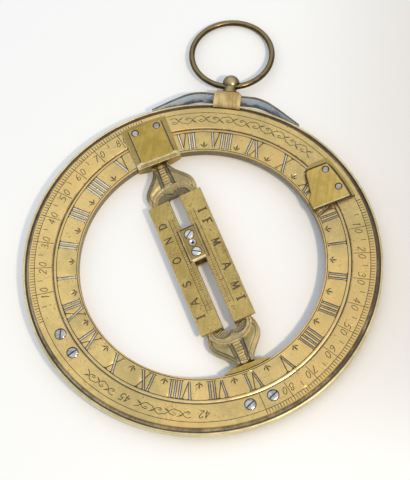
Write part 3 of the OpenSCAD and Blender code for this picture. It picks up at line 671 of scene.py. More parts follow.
def make_bracket(name, axes, node):
    bracket = Blank()
    underside = [(-foot_half, lip_face, 0), (foot_half, lip_face, 0), *outer_end]
    bracket.face([at_height(underside, plate_low), at_height(lip_loop, plate_low),
                  *drilled(bracket_screws, shank_hole, plate_low)], kind=1)
    bracket.upright(lip_loop, lip_foot + lip_edge, plate_low, kind=1)
    lip_rim = inset(lip_loop, lip_edge, lip_foot)
    bracket.wall(at_height(lip_loop, lip_foot + lip_edge), lip_rim, kind=2)
    bracket.face([lip_rim])
    nose_side = foot_half + foot_slope * (nose_back - lip_face)
    front = [(-nose_side, nose_back, 0), (-foot_half, lip_face, 0), (foot_half, lip_face, 0),
             (nose_side, nose_back, 0)]
    bracket.upright(front, plate_low, step_top, closed=False, kind=1)
    sides = front[3:] + outer_end + front[:1]
    bracket.upright(sides, plate_low, step_top - edge, closed=False, kind=1)
    step_rim = [(s[0] * (1 - edge / abs(nose_side)), s[1], step_top) for s in (sides[0], sides[-1])]
    step_rim = step_rim[:1] + inset([(0, nose_back, 0), *sides], edge, step_top)[2:-1] + step_rim[1:]
    bracket.wall(at_height(sides, step_top - edge), step_rim, closed=False, kind=2)
    bracket.face([step_rim + at_height(table_round[::-1], step_top)], kind=1)
    lean = table_half_width - edge
    table_rim = inset([(0, nose_back, 0), *table_round], edge, table_top)[2:-1]
    table_rim = [(lean, nose_back, table_top), *table_rim, (-lean, nose_back, table_top)]
    bracket.upright(table_round, step_top, table_top - edge, closed=False, kind=1)
    bracket.wall(at_height(table_round, table_top - edge), table_rim, closed=False, kind=2)
    bracket.face([table_rim + [(-lean, table_inner, table_top), (lean, table_inner, table_top)],
                  *drilled(bracket_screws, tip_rim, table_top)])
    slope = [(foot_half + (lean - foot_half) * t, lip_face + (table_inner - lip_face) * t,
              step_top + (table_top - step_top) * t) for t in nose_bands]
    for (ax, ay, az), (bx, by, bz), kind in zip(slope, slope[1:], (2, 4, 2)):
        bracket.flat([(-ax, ay, az), (ax, ay, az), (bx, by, bz), (-bx, by, bz)], kind=kind)
    for side in (-1, 1):
        shoulder, crest = (side * nose_side, nose_back, step_top), (side * lean, nose_back, table_top)
        wall_x = side * table_half_width
        bracket.flat([(side * x, y, z) for x, y, z in slope[::-1]] + [shoulder, crest], kind=2)
        bracket.flat([shoulder, (wall_x, nose_back, step_top), (wall_x, nose_back, table_top - edge), crest],
                     kind=1)
    tip_holes(bracket, bracket_screws)
    # Dark bands along the foot of the table and of the plate: painted shade with old dirt; the wider one is
    # the table's painted shadow.
    dirt_line(bracket, table_round, step_top)
    dirt_line(bracket, table_round[:-1], step_top, reach=0.55)
    dirt_line(bracket, [p for p in sides if math.hypot(p[0], p[1]) > face_inner], plate_low)
    bracket.piece(name, axes, [plate_brass, step_brass, rubbed_brass, black_dirt_and_shade, lip_brass],
                  "meridian", node)


turned_over = dial_axes @ Matrix.Rotation(math.pi, 4, "X")
make_bracket("filed_bracket_upper", dial_axes, "upper_bracket")
make_bracket("filed_bracket_lower", turned_over, "lower_bracket")

# The two stop plates: filed like the brackets, with a straight edge on the equator axis and an ogee inner
# side. One lies on the face and the other, opposite-handed, on the back.
stop_edge, stop_length, stop_far, stop_table_far = 1.75, 15.1, 16.85, 14.65
hour_bore = 37.7
shoulder_out, hip_out, waist_out = 5.6, 2.2, 1.5
hip_share, waist_share, toe_share = 0.65, 0.4, 0.2


def cubic(a, b, c, d, count):
    """Points of a curve from a to d with control points b and c, without the last one."""
    found = []
    for i in range(count):
        t = i / count
        weights = ((1 - t) ** 3, 3 * t * (1 - t) ** 2, 3 * t * t * (1 - t), t ** 3)
        found.append(tuple(sum(w * p[k] for w, p in zip(weights, (a, b, c, d))) for k in (0, 1)) + (0,))
    return found


def circle_at(radius, y):
    """The point of a circle at a distance from the equator axis."""
    return math.sqrt(radius ** 2 - y ** 2), y, 0


def stop_outline(outer, far):
    """Plan of a stop plate within a circle and below a far end."""
    shoulder = (hour_bore + shoulder_out, stop_far)
    hip = (hour_bore + hip_out, stop_edge + hip_share * stop_length)
    waist = (hour_bore + waist_out, stop_edge + waist_share * stop_length)
    toe, heel = circle_at(hour_bore, stop_edge + toe_share * stop_length), circle_at(hour_bore, stop_edge)
    side = cubic(shoulder, (shoulder[0] - 2.2, shoulder[1] - 0.6), (hip[0] + 0.3, hip[1] + 2.6), hip, 8)
    side += cubic(hip, (hip[0] - 0.3, hip[1] - 1.4), (waist[0] + 0.1, waist[1] + 1.4), waist, 6)
    side += cubic(waist, (waist[0] - 0.3, waist[1] - 1.6), (toe[0] + 0.5, toe[1] + 1.4), toe, 6)
    side = [p for p in side if p[1] < far - 0.2]
    end_x = side[0][0] + (far - side[0][1]) * 1.6 if far < stop_far else shoulder[0]
    corner, outer_top = circle_at(outer, stop_edge), circle_at(outer, far)
    return [heel, corner, *arc_between(outer, corner, outer_top, 10), outer_top, (end_x, far, 0), *side, toe]


stop_brass = patina("stop_brass", (0.72, 0.495, 0.14), (0.54, 0.355, 0.09), (0.22, 0.15, 0.06), 0.34, 90,
                    0.72, filed=0.5)


def make_stop(name, axes, node):
    stop = Blank()
    plan = stop_outline(plate_outer, stop_far)
    raised = inset(stop_outline(table_outer, stop_table_far), 0.02, 0)
    stop.face([at_height(plan, plate_low), *drilled(stop_screws, shank_hole, plate_low)], kind=1)
    # The walls of the plate and of its table are black: painted shade.
    stop.upright(plan, plate_low, step_top, kind=3)
    stop.face([at_height(plan, step_top), at_height(raised, step_top)], kind=1)
    stop.upright(raised, step_top, table_top - edge, kind=3)
    bevel_foot, top_rim = at_height(raised, table_top - edge), inset(raised, edge, table_top)
    # Only the bevel of the straight edge is pale, a painted highlight with wear; the other bevels keep the
    # plate's colour.
    stop.flat([*bevel_foot[:2], top_rim[1], top_rim[0]], kind=2)
    stop.wall(bevel_foot[1:] + bevel_foot[:1], top_rim[1:] + top_rim[:1], closed=False)
    stop.face([top_rim, *drilled(stop_screws, tip_rim, table_top)])
    tip_holes(stop, stop_screws)
    # Painted shade with old dirt lies along the outer side and the far end, and on the ring as far down the
    # ogee as its hip.
    dirt_line(stop, raised[1:14], step_top, reach=0.9)
    dirt_line(stop, plan[1:20], plate_low)
    stop.piece(name, axes, [stop_brass, step_brass, wear_and_highlight, black_dirt_and_shade], "meridian", node)


through_centre = dial_axes @ Matrix.Diagonal((1, 1, -1, 1)) @ Matrix.Rotation(math.pi, 4, "Z")
make_stop("filed_stop_front", dial_axes, "front_stop_plate")
make_stop("filed_stop_back", through_centre, "back_stop_plate")


# The screws of the plates and the pins that the hour ring turns on. Steel, turned and polished, a little
# tarnished: the heads are slotted and let into the ring, the tips are filed off just under the tables.
screw_steel = patina("screw_steel", (0.80, 0.78, 0.76), (0.36, 0.33, 0.31), (0.14, 0.11, 0.08), 0.22, 620)
dark_slot_steel = patina("dark_slot_steel", (0.20, 0.16, 0.12), (0.10, 0.08, 0.06), (0.04, 0.03, 0.02), 0.5, 300)
tip_steel = patina("tip_steel", (0.66, 0.60, 0.52), (0.34, 0.29, 0.24), (0.14, 0.10, 0.07), 0.36, 700)


def add_screw(screws, x, y, turn, base, rise, radius, half_slot, shank, tip):
    """A domed, slotted head on a shank that goes the other way, to a rounded tip."""
    way = 1 if rise > 0 else -1
    cos, sin = math.cos(math.radians(turn)), math.sin(math.radians(turn))
    slot_floor, chamfer, dome, tip_rise, tip_round = base + rise * 0.45, 0.14, 0.26, 0.12, 0.14

    def crown(px, py):
        out = math.hypot(px - x, py - y)
        return base + rise - way * (dome * (out / radius) ** 2 + 0.9 * max(0.0, out - radius + chamfer))

    def placed(u, v):
        return x + u * cos - v * sin, y + u * sin + v * cos

    lean = math.asin(half_slot / radius)
    reach = math.sqrt(radius ** 2 - half_slot ** 2)
    outline = []
    for side in (1, -1):
        arc = [lean + (math.pi - 2 * lean) * i / 20 for i in range(21)]
        bow = [placed(side * radius * math.cos(a), side * radius * math.sin(a)) for a in arc]
        chord = [placed(side * reach * (i / 4 - 1), side * half_slot) for i in range(1, 8)]
        grid = [(x + radius * k / 5 * math.cos(0.3 * i), y + radius * k / 5 * math.sin(0.3 * i))
                for k in (2, 3, 4, 4.6) for i in range(21)]
        screws.carved([[(*p, 0) for p in bow + chord]], grid, crown)
        lip = [bow[-1], *chord, bow[0]]
        # The walls and floor of the slot are dark.
        screws.wall([(*p, crown(*p)) for p in lip], [(*p, slot_floor) for p in lip], closed=False, kind=1)
        outline += [(*bow[0], slot_floor), *[(*p, crown(*p)) for p in bow], (*bow[-1], slot_floor)]
    corners = [placed(u * reach, v * half_slot) for u, v in ((1, 1), (-1, 1), (-1, -1), (1, -1))]
    screws.flat([(*p, slot_floor) for p in corners], kind=1)
    screws.wall(outline, at_height(outline, base))
    stem = [(radius, base), (shank, base), (shank, tip + way * tip_rise), (shank - tip_round, tip)]
    loops = [ring(r, z, hole_steps, (x, y)) for r, z in stem]
    for first, second in zip(loops, loops[1:]):
        screws.wall(first, second)
    screws.flat(loops[-1], kind=2)


def plate_screws(name, axes, places, turns, node):
    screws = Blank()
    for (x, y), turn in zip(places, turns):
        add_screw(screws, x, y, turn, base=seat_depth - face_height, rise=-0.8, radius=1.62, half_slot=0.2,
                  shank=1.0, tip=table_top - 0.15)
    screws.piece(name, axes, [screw_steel, dark_slot_steel, tip_steel], "meridian", node)


plate_screws("turned_screws_upper", dial_axes, bracket_screws, (65, 15), "upper_bracket_screws")
plate_screws("turned_screws_lower", turned_over, bracket_screws, (-23, -23), "lower_bracket_screws")
plate_screws("turned_screws_front_stop", dial_axes, stop_screws, (65, 15), "front_stop_screws")
plate_screws("turned_screws_back_stop", through_centre, stop_screws, (65, 15), "back_stop_screws")


def finish_node(finish, *nodes):
    """A node whose solid is right keeps it, and takes a worked finish."""
    for node in nodes:
        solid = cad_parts[node]
        solid.data.materials.clear()
        solid.data.materials.append(finish)


finish_node(screw_steel, "hour_pivot_east", "hour_pivot_west")

# The hour ring: a flat brass ring turned to run inside the meridian ring, with bevelled edges. Twice twelve
# hours are cut on its face in Roman figures with swelling strokes, and a small fleur marks each half hour.
hour_inner, hour_outer, hour_face = 37.85, 45.14, 1.55
hour_rim, rim_level, bore_level = 45.4, 1.38, 1.40
figure_foot, figure_height = 38.75, 5.5
thick, thin, hair = 0.47, 0.15, 0.12
stroke_width = {"I": 1.36, "V": 3.1, "X": 3.4}


def outward_from(foot, angle, points):
    """A cut given by its places across and outward from a foot circle, at an angle round the ring."""
    ox, oy = on_ring(1, angle)
    return [(ox * (foot + v) + oy * u, oy * (foot + v) - ox * u, half) for u, v, half in points]


def roman(figure, angle):
    at = -sum(stroke_width[letter] for letter in figure) / 2
    top, low = figure_height, 0.0
    strokes = []

    def serif(first, last, v):
        strokes.append([(first, v, hair), (last, v, hair)])

    for letter in figure:
        reach = stroke_width[letter] / 2
        middle = at + reach
        at += 2 * reach
        if letter == "I":
            strokes.append([(middle, top - 0.05, thick * 0.9), (middle, top / 2, thick),
                            (middle, low + 0.05, thick * 0.9)])
            serif(middle - 0.78, middle + 0.78, top)
            serif(middle - 0.78, middle + 0.78, low)
        elif letter == "V":
            strokes.append([(middle - 1.15, top - 0.05, thick), (middle - 0.1, low + 0.1, thick * 0.8)])
            strokes.append([(middle + 1.2, top - 0.05, thin), (middle + 0.05, low + 0.1, thin)])
            serif(middle - 1.9, middle - 0.4, top)
            serif(middle + 0.7, middle + 1.7, top)
        else:
            strokes.append([(middle - 1.2, top - 0.05, thick), (middle + 1.2, low + 0.05, thick)])
            strokes.append([(middle + 1.2, top - 0.05, thin), (middle - 1.2, low + 0.05, thin)])
            for v, lean in ((top, -1), (low, 1)):
                serif(middle + lean * 1.9, middle + lean * 0.5, v)
                serif(middle - lean * 1.7, middle - lean * 0.7, v)
    return [outward_from(figure_foot, angle, stroke) for stroke in strokes]


fleur_foot, fleur_middle, fleur_size = 38.3, 1.6, 0.78


def fleur(angle):
    petals = [[(0, 0.95, 0.03), (0, 1.6, 0.24), (0, 2.1, 0.24), (0, 3.1, 0.03)],
              [(0, 0.1, 0.06), (0, 0.9, 0.09)]]
    for side in (-1, 1):
        petals.append([(side * 0.12, 0.95, 0.05), (side * 0.5, 1.2, 0.16), (side * 0.95, 1.3, 0.2),
                       (side * 1.25, 1.75, 0.12), (side * 1.3, 2.1, 0.03)])
        petals.append([(side * 0.1, 0.75, 0.07), (side * 0.55, 0.6, 0.1), (side * 0.8, 0.75, 0.03)])
    petals = [[(fleur_size * u, fleur_middle + fleur_size * (v - fleur_middle), half) for u, v, half in petal]
              for petal in petals]
    return [outward_from(fleur_foot, angle, petal) for petal in petals]


hours = ["XII", "I", "II", "III", "IIII", "V", "VI", "VII", "VIII", "IX", "X", "XI"]
outer_line, inner_line = 44.5, 38.25
hour_lines = [arc_cut(radius, 0, 360, hair) for radius in (outer_line, inner_line)]
hour_cuts = list(hour_lines)
for hour in range(24):
    hour_cuts += roman(hours[hour % 12], -15 * hour)
    hour_cuts += fleur(-15 * hour - 7.5)
hour_ring = Blank()
# The pale floors of the broad cuts widen towards the upper left, part of the same painted reflection.
hour_ring.face([ring(hour_outer, hour_face), ring(hour_inner, hour_face)], hour_cuts, floor_kind=2,
               floor_at=lambda x, y: 0.36 + 0.0025 * (y - x))
hour_ring.face([ring(hour_outer, -hour_face), ring(hour_inner, -hour_face)], hour_lines, up=-1)
for side in (1, -1):
    hour_ring.lathe([(hour_outer, side * hour_face), (hour_rim, side * rim_level)], kind=4)
    hour_ring.lathe([(hour_inner, side * hour_face), (hour_bore, side * bore_level)])
for radius, level in ((hour_rim, rim_level), (hour_bore, bore_level)):
    hour_ring.lathe([(radius, level), (radius, -level)], kind=3)
tarnished = patina("tarnished", (0.32, 0.26, 0.155), (0.20, 0.16, 0.10), (0.09, 0.065, 0.04), 0.45)
hour_ring.piece("engraved_hours", dial_axes, [ring_brass, cut_brass, bare_cut_and_glint, tarnished, rubbed_brass],
                "hour", "hour_ring")

# The frame of the bridge: a brass casting with leaf-shaped ends, filed up and slotted for the cursor. The
# ends are chiselled: a ribbed neck between two grooves, a raised scalloped rim, and a sunk hatched ground.
neck_end, frame_half, frame_edge = 35.6, 1.2, 0.15
neck_half, belly_half, belly_y, root_x, root_y = 2.9, 8.1, 26.4, 7.0, 22.1
leaf_pull, carved_from = 3.68, 22.7
rim_rise, rim_spread, band_depth, ground_depth, hatch_depth = 0.34, 0.26, 0.18, 0.55, 0.09
hollow_depth, swell_rise, groove_half, groove_depth, rib_rise = 0.45, 0.55, 0.62, 0.42, 0.14
edge_drop, edge_round, outline_gap, outline_depth = 0.8, 1.4, 1.15, 0.22
flank = cubic((neck_half, neck_end), (neck_half, neck_end - leaf_pull), (belly_half, belly_y + leaf_pull),
              (belly_half, belly_y), 24)
flank += cubic((belly_half, belly_y), (belly_half, belly_y - 1.65), (root_x + 0.55, root_y + 1.1),
               (root_x, root_y), 14)
flank.append((root_x, root_y, 0))
leaf = flank[::-1] + [mirrored(p) for p in flank]
frame_outline = leaf + [(-x, -y, 0) for x, y, _ in leaf]
slot_half, slot_end, slot_corner = 1.85, 24.0, 0.7
slot_turn = [(slot_half - slot_corner + slot_corner * math.cos(math.radians(a)),
              slot_end - slot_corner + slot_corner * math.sin(math.radians(a)), 0) for a in range(0, 91, 15)]
slot_loop = slot_turn + [mirrored(p) for p in slot_turn[::-1]]
slot_loop += [(-x, -y, 0) for x, y, _ in slot_loop]


def scallop(half_line):
    """A line across the leaf from its right half, which ends on the middle."""
    return [(x, y, 0) for x, y in half_line] + [(-x, y, 0) for x, y in half_line[-2::-1]]


rim_outer = scallop([(6.6, 22.2), (6.75, 23.4), (6.3, 24.9), (5.2, 26.3), (3.6, 27.3), (1.8, 27.75),
                     (0, 27.85)])
rim_inner = scallop([(5.7, 22.2), (5.6, 23.6), (4.95, 24.9), (3.7, 25.85), (2.2, 26.2), (0.95, 25.9),
                     (0, 25.15)])


def gap_to(line, x, y):
    nearest = 99.0
    for (ax, ay, _), (bx, by, _) in zip(line, line[1:]):
        dx, dy = bx - ax, by - ay
        t = min(1.0, max(0.0, ((x - ax) * dx + (y - ay) * dy) / (dx * dx + dy * dy)))
        nearest = min(nearest, math.hypot(x - ax - dx * t, y - ay - dy * t))
    return nearest


def groove_gap(x, y):
    """Distance from the middle of the nearer groove beside the ribs of the neck."""
    return abs(abs(x) - 1.5 - 0.06 * max(0.0, 34.0 - y))


def swell(value):
    value = min(1.0, max(0.0, value))
    return value * value * (3 - 2 * value)


def leaf_height(x, y):
    """Height of the frame's face: flat along the rails, and chiselled on the leaf ends."""
    y = abs(y)
    if y < carved_from:
        return frame_half
    outer_gap, inner_gap, edge_gap = gap_to(rim_outer, x, y), gap_to(rim_inner, x, y), gap_to(leaf, x, y)
    rim_gap = min(outer_gap, inner_gap)
    crest = rim_rise * math.exp(-(rim_gap / rim_spread) ** 2)
    if lies_inside(rim_inner, x, y):
        hatching = hatch_depth * math.cos(9.5 * (y + 0.35 * x)) * swell(inner_gap - 0.3)
        work = -ground_depth * swell(inner_gap / 0.45) + hatching
    elif lies_inside(rim_outer, x, y):
        work = -band_depth * swell(rim_gap / 0.4)
    else:
        work = -hollow_depth * swell(outer_gap / 0.4) + swell_rise * swell((outer_gap - 0.35) / 1.6)
        groove = groove_gap(x, y) / groove_half
        if groove < 1:
            work = -groove_depth * (1 - groove ** 2) * swell(outer_gap / 0.5)
        elif abs(x) < 1.6:
            work = -0.05 + rib_rise * math.cos(6.6 * y)
        crest -= edge_drop * (1 - swell(edge_gap / edge_round)) * swell((neck_end - y) / 0.5)
        if groove >= 1:
            traced = math.exp(-((edge_gap - outline_gap) / 0.2) ** 2)
            crest -= outline_depth * traced * swell(outer_gap / 0.5)
    return frame_half + (crest + work) * swell((y - carved_from) / 0.25)


def leaf_kind(x, y):
    """Finish of a place on that face: 0 is plain, 1 sunk and dark, 2 a bright rim."""
    y = abs(y)
    if y < carved_from:
        return 0
    if min(gap_to(rim_outer, x, y), gap_to(rim_inner, x, y)) < 0.3:
        return 2
    if lies_inside(rim_inner, x, y):
        return 1
    if lies_inside(rim_outer, x, y):
        return 0
    on_outline = abs(gap_to(leaf, x, y) - outline_gap) < 0.17 and abs(x) > 2
    return 1 if groove_gap(x, y) < 0.56 or on_outline else 0


def worked(line):
    return [(x, y, leaf_height(x, y)) for x, y, _ in line]


bridge_turn, grid_pitch = 9, 0.2
bridge_axes = dial_axes @ Matrix.Rotation(math.radians(-bridge_turn), 4, "Y")
bridge = Blank()
grid = [(i * grid_pitch, side * (carved_from + 0.02 + j * grid_pitch))
        for i in range(-41, 42) for j in range(65) for side in (1, -1)]
bridge.carved([frame_outline, slot_loop], grid, leaf_height, leaf_kind)
bevel_top = at_height(frame_outline, frame_edge - frame_half)
back_rim = inset(frame_outline, frame_edge, -frame_half)
bridge.wall(worked(frame_outline), bevel_top)
bridge.wall(bevel_top, back_rim)
bridge.face([back_rim, at_height(slot_loop, -frame_half)])
bridge.wall(worked(slot_loop), at_height(slot_loop, -frame_half), kind=1)
leaf_brass = patina("leaf_brass", (0.57, 0.44, 0.21), (0.385, 0.30, 0.15), (0.18, 0.13, 0.07), 0.45, 220,
                    0.62)
ground_brass = patina("ground_brass", (0.33, 0.27, 0.17), (0.18, 0.145, 0.09), (0.08, 0.06, 0.04), 0.42,
                      300)
crest_brass = patina("crest_brass", (0.78, 0.66, 0.40), (0.56, 0.45, 0.24), (0.24, 0.18, 0.09), 0.38, 300,
                     0.68, metal=0.6)
bridge.piece("filed_bridge", bridge_axes, [leaf_brass, ground_brass, crest_brass],
             "bridge", "bridge_frame")

# The two calendar strips: thin brass slips laid along the rails of the bridge. Each is divided for half of
# the year, closer at the ends where the sun turns back, with the initials of its months.
strip_inner, strip_outer, strip_half, strip_low, strip_top, strip_edge = 1.85, 8.85, 22.65, 1.2, 2.2, 0.12
scale_inner, scale_middle, scale_line, scale_half = 2.15, 3.1, 4.3, 16.35
half_year, day_step, closest_marks = 183, 3, 0.42
line_cut, middle_cut, day_cut, overrun = 0.08, 0.05, 0.055, 0.6
letter_line, letter_height = 6.7, 2.5
LETTERS = {
    "I": [[(0.4, 0.0, 1.3), (0.4, 1.0, 1.3)], [(0.2, 0.0, 0.7), (0.6, 0.0, 0.7)],
          [(0.2, 1.0, 0.7), (0.6, 1.0, 0.7)]],
    "F": [[(0.2, 0.0, 1.3), (0.2, 1.0, 1.3)], [(0.05, 1.0, 0.8), (0.75, 1.0, 0.9)],
          [(0.2, 0.52, 0.8), (0.58, 0.52, 0.8)], [(0.02, 0.0, 0.7), (0.4, 0.0, 0.7)]],
    "M": [[(0.06, 0.0, 0.8), (0.14, 1.0, 0.8)], [(0.14, 1.0, 1.2), (0.42, 0.15, 1.2)],
          [(0.42, 0.15, 0.8), (0.72, 1.0, 0.8)], [(0.72, 1.0, 1.3), (0.8, 0.0, 1.3)]],
    "A": [[(0.02, 0.0, 0.8), (0.4, 1.0, 0.8)], [(0.4, 1.0, 1.3), (0.8, 0.0, 1.3)],
          [(0.16, 0.36, 0.7), (0.66, 0.36, 0.7)]],
    "S": [[(0.66, 0.84, 0.8), (0.46, 1.0, 1), (0.22, 0.94, 1), (0.14, 0.74, 1.2), (0.34, 0.56, 1.3),
           (0.58, 0.42, 1.3), (0.66, 0.2, 1.2), (0.46, 0.02, 1), (0.22, 0.02, 1), (0.08, 0.18, 0.8)]],
    "O": [oval(0.4, 0.5, 0.36, 0.5)],
    "N": [[(0.1, 0.0, 0.8), (0.1, 1.0, 0.8)], [(0.1, 1.0, 1.3), (0.7, 0.0, 1.3)],
          [(0.7, 0.0, 0.8), (0.7, 1.0, 0.8)]],
    "D": [[(0.16, 0.0, 1.3), (0.16, 1.0, 1.3)],
          [(0.05, 1.0, 0.8), (0.5, 0.94, 1), (0.72, 0.66, 1.2), (0.72, 0.34, 1.2), (0.5, 0.06, 1),
           (0.05, 0.0, 0.8)]],
}
strip_brass = patina("strip_brass", (0.67, 0.48, 0.165), (0.48, 0.335, 0.10), (0.20, 0.14, 0.06), 0.36, 110,
                     filed=0.3)


def make_strip(name, side, letter_cut, months, node):
    line_x, middle_x = side * scale_line, side * scale_middle
    cuts = [[(line_x, -scale_half - overrun, line_cut), (line_x, scale_half + overrun, line_cut)],
            [(middle_x, -scale_half, middle_cut), (middle_x, scale_half, middle_cut)]]
    last_y = 99.0
    for day in range(0, half_year + 1, day_step):
        y = scale_half * math.cos(math.pi * day / half_year)
        if last_y - y > closest_marks:
            cuts.append([(side * scale_inner, y, day_cut), (line_x, y, day_cut)])
            last_y = y
    for letter, y in months:
        cuts += set_mark(LETTERS[letter], side * letter_line, y, (side, 0), letter_height, letter_cut,
                         middle=0.4)
    outline = [(side * x, side * y * strip_half, 0)
               for x, y in ((strip_inner, -1), (strip_outer, -1), (strip_outer, 1), (strip_inner, 1))]
    strip = Blank()
    rim = inset(outline, strip_edge, strip_top)
    strip.face([rim], cuts)
    strip.wall(rim, at_height(outline, strip_top - strip_edge), kind=2)
    strip.upright(outline, strip_top - strip_edge, strip_low)
    strip.face([at_height(outline, strip_low)])
    strip.piece(name, bridge_axes, [strip_brass, cut_brass, rubbed_brass], "bridge", node)


east_months = [("I", 15.2), ("F", 11.0), ("M", 3.6), ("A", -5.0), ("M", -12.0), ("I", -16.5)]
west_months = [("I", -16.9), ("A", -11.8), ("S", -5.3), ("O", 3.1), ("N", 10.3), ("D", 15.4)]
make_strip("divided_strip_east", 1, 0.25, east_months, "calendar_strip_east")
make_strip("divided_strip_west", -1, 0.2, west_months, "calendar_strip_west")
finish_node(screw_steel, "bridge_pivot_upper", "bridge_pivot_lower")

# The cursor: two filed brass plates that grip the strips through the slot, held by two slotted steel screws,
# with a small bush between them that carries the pinhole. The front plate is a trough with rolled ends.
cursor_place = 6
cursor_axes = bridge_axes @ Matrix.Translation((0, cursor_place, 0))
cursor_half, cursor_side, cursor_seat, cursor_floor = 5.75, 2.9, 2.28, 3.08
rim_high, trough_high, end_share = 1.2, 0.8, 0.25
screw_place, head_room, bush_room, shank_room, recess_floor = 3.1, 1.62, 1.24, 0.7, cursor_seat + 0.3
bed, trough = 4.75, cursor_side - 0.68


def roll(y):
    """Share of the height left at a place along the cursor, as its ends curve down."""
    over = (abs(y) - bed) / (cursor_half - bed)
    return 1.0 if over <= 0 else end_share + (1 - end_share) * math.sqrt(max(0.0, 1 - over * over))


cursor = Blank()
section = [(cursor_side, 0.0), (cursor_side, 0.85), (cursor_side - 0.12, 1.0), (cursor_side - 0.42, 1.0),
           (cursor_side - 0.55, 0.9), (trough, 0.667)]
runs = [bed + (cursor_half - bed) * (1 - (1 - i / 8) ** 2) for i in range(9)]
stations = [-y for y in runs[::-1]] + runs
for side in (1, -1):
    for edges in zip(section, section[1:]):
        rails = [[(side * x, y, cursor_seat + rim_high * z * roll(y)) for y in stations] for x, z in edges]
        cursor.wall(*rails, closed=False)
    # The end towards -y is pale, a painted highlight with wear, and the end towards +y black, painted shade.
    painted_end_light = 1 if side < 0 else 2
    ends = [[(x, side * y, cursor_seat + trough_high * roll(y)) for x in (-trough, 0, trough)] for y in runs]
    for place, (first, second) in enumerate(zip(ends, ends[1:])):
        cursor.wall(first, second, closed=False, kind=3 if place < 2 else painted_end_light)
    end_face = [(-cursor_side, 0.0), *section, *[mirrored(p) for p in section[:0:-1]]]
    cursor.flat([(x, side * cursor_half, cursor_seat + rim_high * z * end_share) for x, z in end_face],
                kind=painted_end_light)
recesses = drilled([(0, -screw_place), (0, screw_place)], head_room, cursor_floor)
recesses += drilled([(0, 0)], bush_room, cursor_floor)
floor_plan = ((-trough, -bed), (0, -bed), (trough, -bed), (trough, bed), (0, bed), (-trough, bed))
cursor.face([[(x, y, cursor_floor) for x, y in floor_plan], *recesses], kind=3)
for recess in recesses:
    cursor.upright(recess, cursor_floor, recess_floor, kind=2)
under = [(x * cursor_side, y * cursor_half, cursor_seat) for x, y in square]
cursor.face([under])
# A brown band round the foot of the cursor: painted shade with old wax.
dirt_line(cursor, under[1:] + under[:1], cursor_seat, reach=0.42, kind=4)
for centre, recess in ((-screw_place, head_room), (screw_place, head_room), (0, bush_room)):
    cursor.face([ring(radius, recess_floor, hole_steps, (0, centre)) for radius in (recess, shank_room)],
                kind=2)
cursor_brass = patina("cursor_brass", (0.70, 0.56, 0.29), (0.50, 0.39, 0.19), (0.22, 0.16, 0.07), 0.32, 200)
brown_wax_and_shade = patina("brown_wax_and_shade", (0.22, 0.12, 0.065), (0.09, 0.05, 0.03), (0.03, 0.02, 0.012), 0.5, 300,
                   metal=0.1)
cursor.piece("rolled_cursor", cursor_axes, [cursor_brass, wear_and_highlight, black_dirt_and_shade, step_brass, brown_wax_and_shade],
             "cursor", "cursor_front_plate")
finish_node(cursor_brass, "cursor_back_plate")

bright_steel = patina("bright_steel", (0.86, 0.85, 0.83), (0.66, 0.63, 0.58), (0.24, 0.20, 0.16), 0.24, 500)
bush_low, bush_high, bush_radius, dish, pinhole = cursor_floor - 0.35, cursor_floor + 0.4, 1.1, 0.42, 0.3
grips = Blank()
for side in (-1, 1):
    add_screw(grips, 0, side * screw_place, 35 * side, base=bush_low, rise=0.75, radius=1.45, half_slot=0.15,
              shank=0.65, tip=-2.26)
grips.piece("turned_cursor_screws", cursor_axes, [bright_steel, dark_slot_steel, tip_steel],
            "cursor", "cursor_screws")
bush = Blank()
bush.lathe([(pinhole, bush_low), (bush_radius, bush_low), (bush_radius, bush_high - 0.16),
            (1.03, bush_high - 0.04), (0.9, bush_high), (dish, bush_high - 0.26)], hole_steps)
# The pinhole and the bottom of its dish are black: painted shade.
bush.lathe([(dish, bush_high - 0.26), (pinhole, bush_high - 0.38), (pinhole, bush_low)], hole_steps, kind=1)
bush.piece("dished_bush", cursor_axes, [bright_steel, black_dirt_and_shade], "cursor", "pinhole_bush")

# The suspension slide: a brass yoke filed to clip over the rim bead, and a blued steel bow spring through it
# that presses on the rim on both sides. The spring's edges have gone brown.
hanger_axes = to_middle @ Matrix.Scale(MM, 4)
# The yoke's colour is painted lighter towards the ring and darker away from it: a painted highlight.
yoke_brass = patina("yoke_brass", (0.82, 0.59, 0.27), (0.50, 0.325, 0.11), (0.20, 0.14, 0.06), 0.28, 200,
                    0.70, drift=(0, -60, 0), drift_from=(0, 0.0556, 0), filed=0.5)
finish_node(yoke_brass, "slide_yoke")

spring_middle, spring_tip = 57.325, (23.6, 50.149)
stem_gap, spring_edge, spring_shoulder, edge_fall, dark_edge_band = 1.15, 2.95, 13.0, 0.135, 0.32
half_thick, tip_thinner = 0.275, 0.15
flat_to, bend_from, bend_pull, tip_pull = 4.3, 7.5, 12.0, (-7.361, 4.25)
bow = [(stem_gap, spring_middle), (flat_to, spring_middle)]
bow += [p[:2] for p in cubic((bend_from, spring_middle), (bend_pull, spring_middle),
                             (spring_tip[0] + tip_pull[0], spring_tip[1] + tip_pull[1]), spring_tip, 24)]
bow.append(spring_tip)
sides = []
for way in (1, -1):
    line = []
    for i, (x, y) in enumerate(bow):
        half = half_thick - tip_thinner * (max(0, i - 2) / (len(bow) - 3)) ** 3
        along = heading(bow, i)
        line.append((x - way * along.y * half, y + way * along.x * half))
    sides.append([mirrored(p) for p in line[::-1]] + line)
spring_heights = [spring_edge - edge_fall * max(0.0, x - spring_shoulder) for x, _ in bow]
spring_heights = spring_heights[::-1] + spring_heights


def spring_row(line, share):
    """A long row of points on the spring: 1 is its upper edge, 0.9 just below it, 0.5 beside the stem."""
    drop = {1: 0.0, 0.9: dark_edge_band}
    return [(x, y, math.copysign(stem_gap if abs(share) == 0.5 else height - drop[abs(share)], share))
            for (x, y), height in zip(line, spring_heights)]
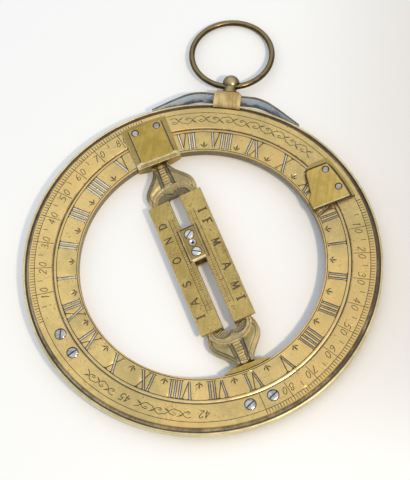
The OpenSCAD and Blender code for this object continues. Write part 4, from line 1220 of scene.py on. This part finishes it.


# Both faces are black in a band just inside each edge; along the foot this stands for the rim's shadow,
# painted shade.
spring = Blank()
rows = (-1, -0.9, -0.5, 0.5, 0.9, 1)
for low, high in zip(rows, rows[1:]):
    breaks = [0, len(bow), len(bow) * 2] if low + high == 0 else [0, len(bow) * 2]
    for first, last in zip(breaks, breaks[1:]):
        for line in sides:
            spring.wall(spring_row(line, low)[first:last], spring_row(line, high)[first:last], closed=False,
                        kind=2 if abs(low + high) > 1.6 else 3 if line is sides[1] else 0)
for share in (-1, 1):
    spring.wall(spring_row(sides[0], share), spring_row(sides[1], share), closed=False, kind=1)
outer, inner = [[line[len(bow) - 1], line[len(bow)]] for line in sides]
for height in (-stem_gap, stem_gap):
    spring.flat([(*p, height) for p in outer + inner[::-1]])
for end in (0, 1):
    spring.flat([(*outer[end], -stem_gap), (*inner[end], -stem_gap), (*inner[end], stem_gap),
                 (*outer[end], stem_gap)])
    tips = [[spring_row(line, share)[-end] for share in rows] for line in sides]
    spring.wall(*tips, closed=False, kind=1)
spring_steel = patina("spring_steel", (0.66, 0.74, 0.90), (0.40, 0.45, 0.60), (0.20, 0.19, 0.21), 0.34, 400,
                      metal=0.3)
brown_steel = patina("brown_steel", (0.30, 0.25, 0.15), (0.16, 0.125, 0.075), (0.07, 0.055, 0.035), 0.4,
                     400)
black_steel = patina("black_steel", (0.10, 0.11, 0.13), (0.05, 0.05, 0.06), (0.02, 0.02, 0.02), 0.4, 400)
# The inner face is blue, painted darker towards its foot: painted shadow of the rim.
blued_steel = patina("blued_steel", (0.70, 0.82, 1.0), (0.10, 0.13, 0.24), (0.16, 0.22, 0.34), 0.3, 300,
                     0.64, metal=0.0, drift=(0, 0, 95), drift_from=(0, 0, 0.0026))
spring.piece("bowed_spring", hanger_axes, [spring_steel, brown_steel, black_steel, blued_steel],
             "slide", "slide_spring")

# The swivel and the finger loop: a turned brass ball with an eye, riveted through the yoke, and a ring of
# thick brass wire, both brown from handling.
# The loop, the burr and the ball carry a painted highlight: brighter where their surface faces straight up or
# down.
dark_brass = patina("dark_brass", (0.30, 0.22, 0.10), (0.095, 0.066, 0.028), (0.06, 0.04, 0.02), 0.26, 140,
                    0.70, painted_sheen=0.9)
finish_node(dark_brass, "swivel_burr", "suspension_loop")
ball_brass = patina("ball_brass", (0.52, 0.41, 0.21), (0.22, 0.165, 0.08), (0.10, 0.07, 0.035), 0.3, 200,
                    0.70, painted_sheen=0.6)
finish_node(ball_brass, "swivel_ball")
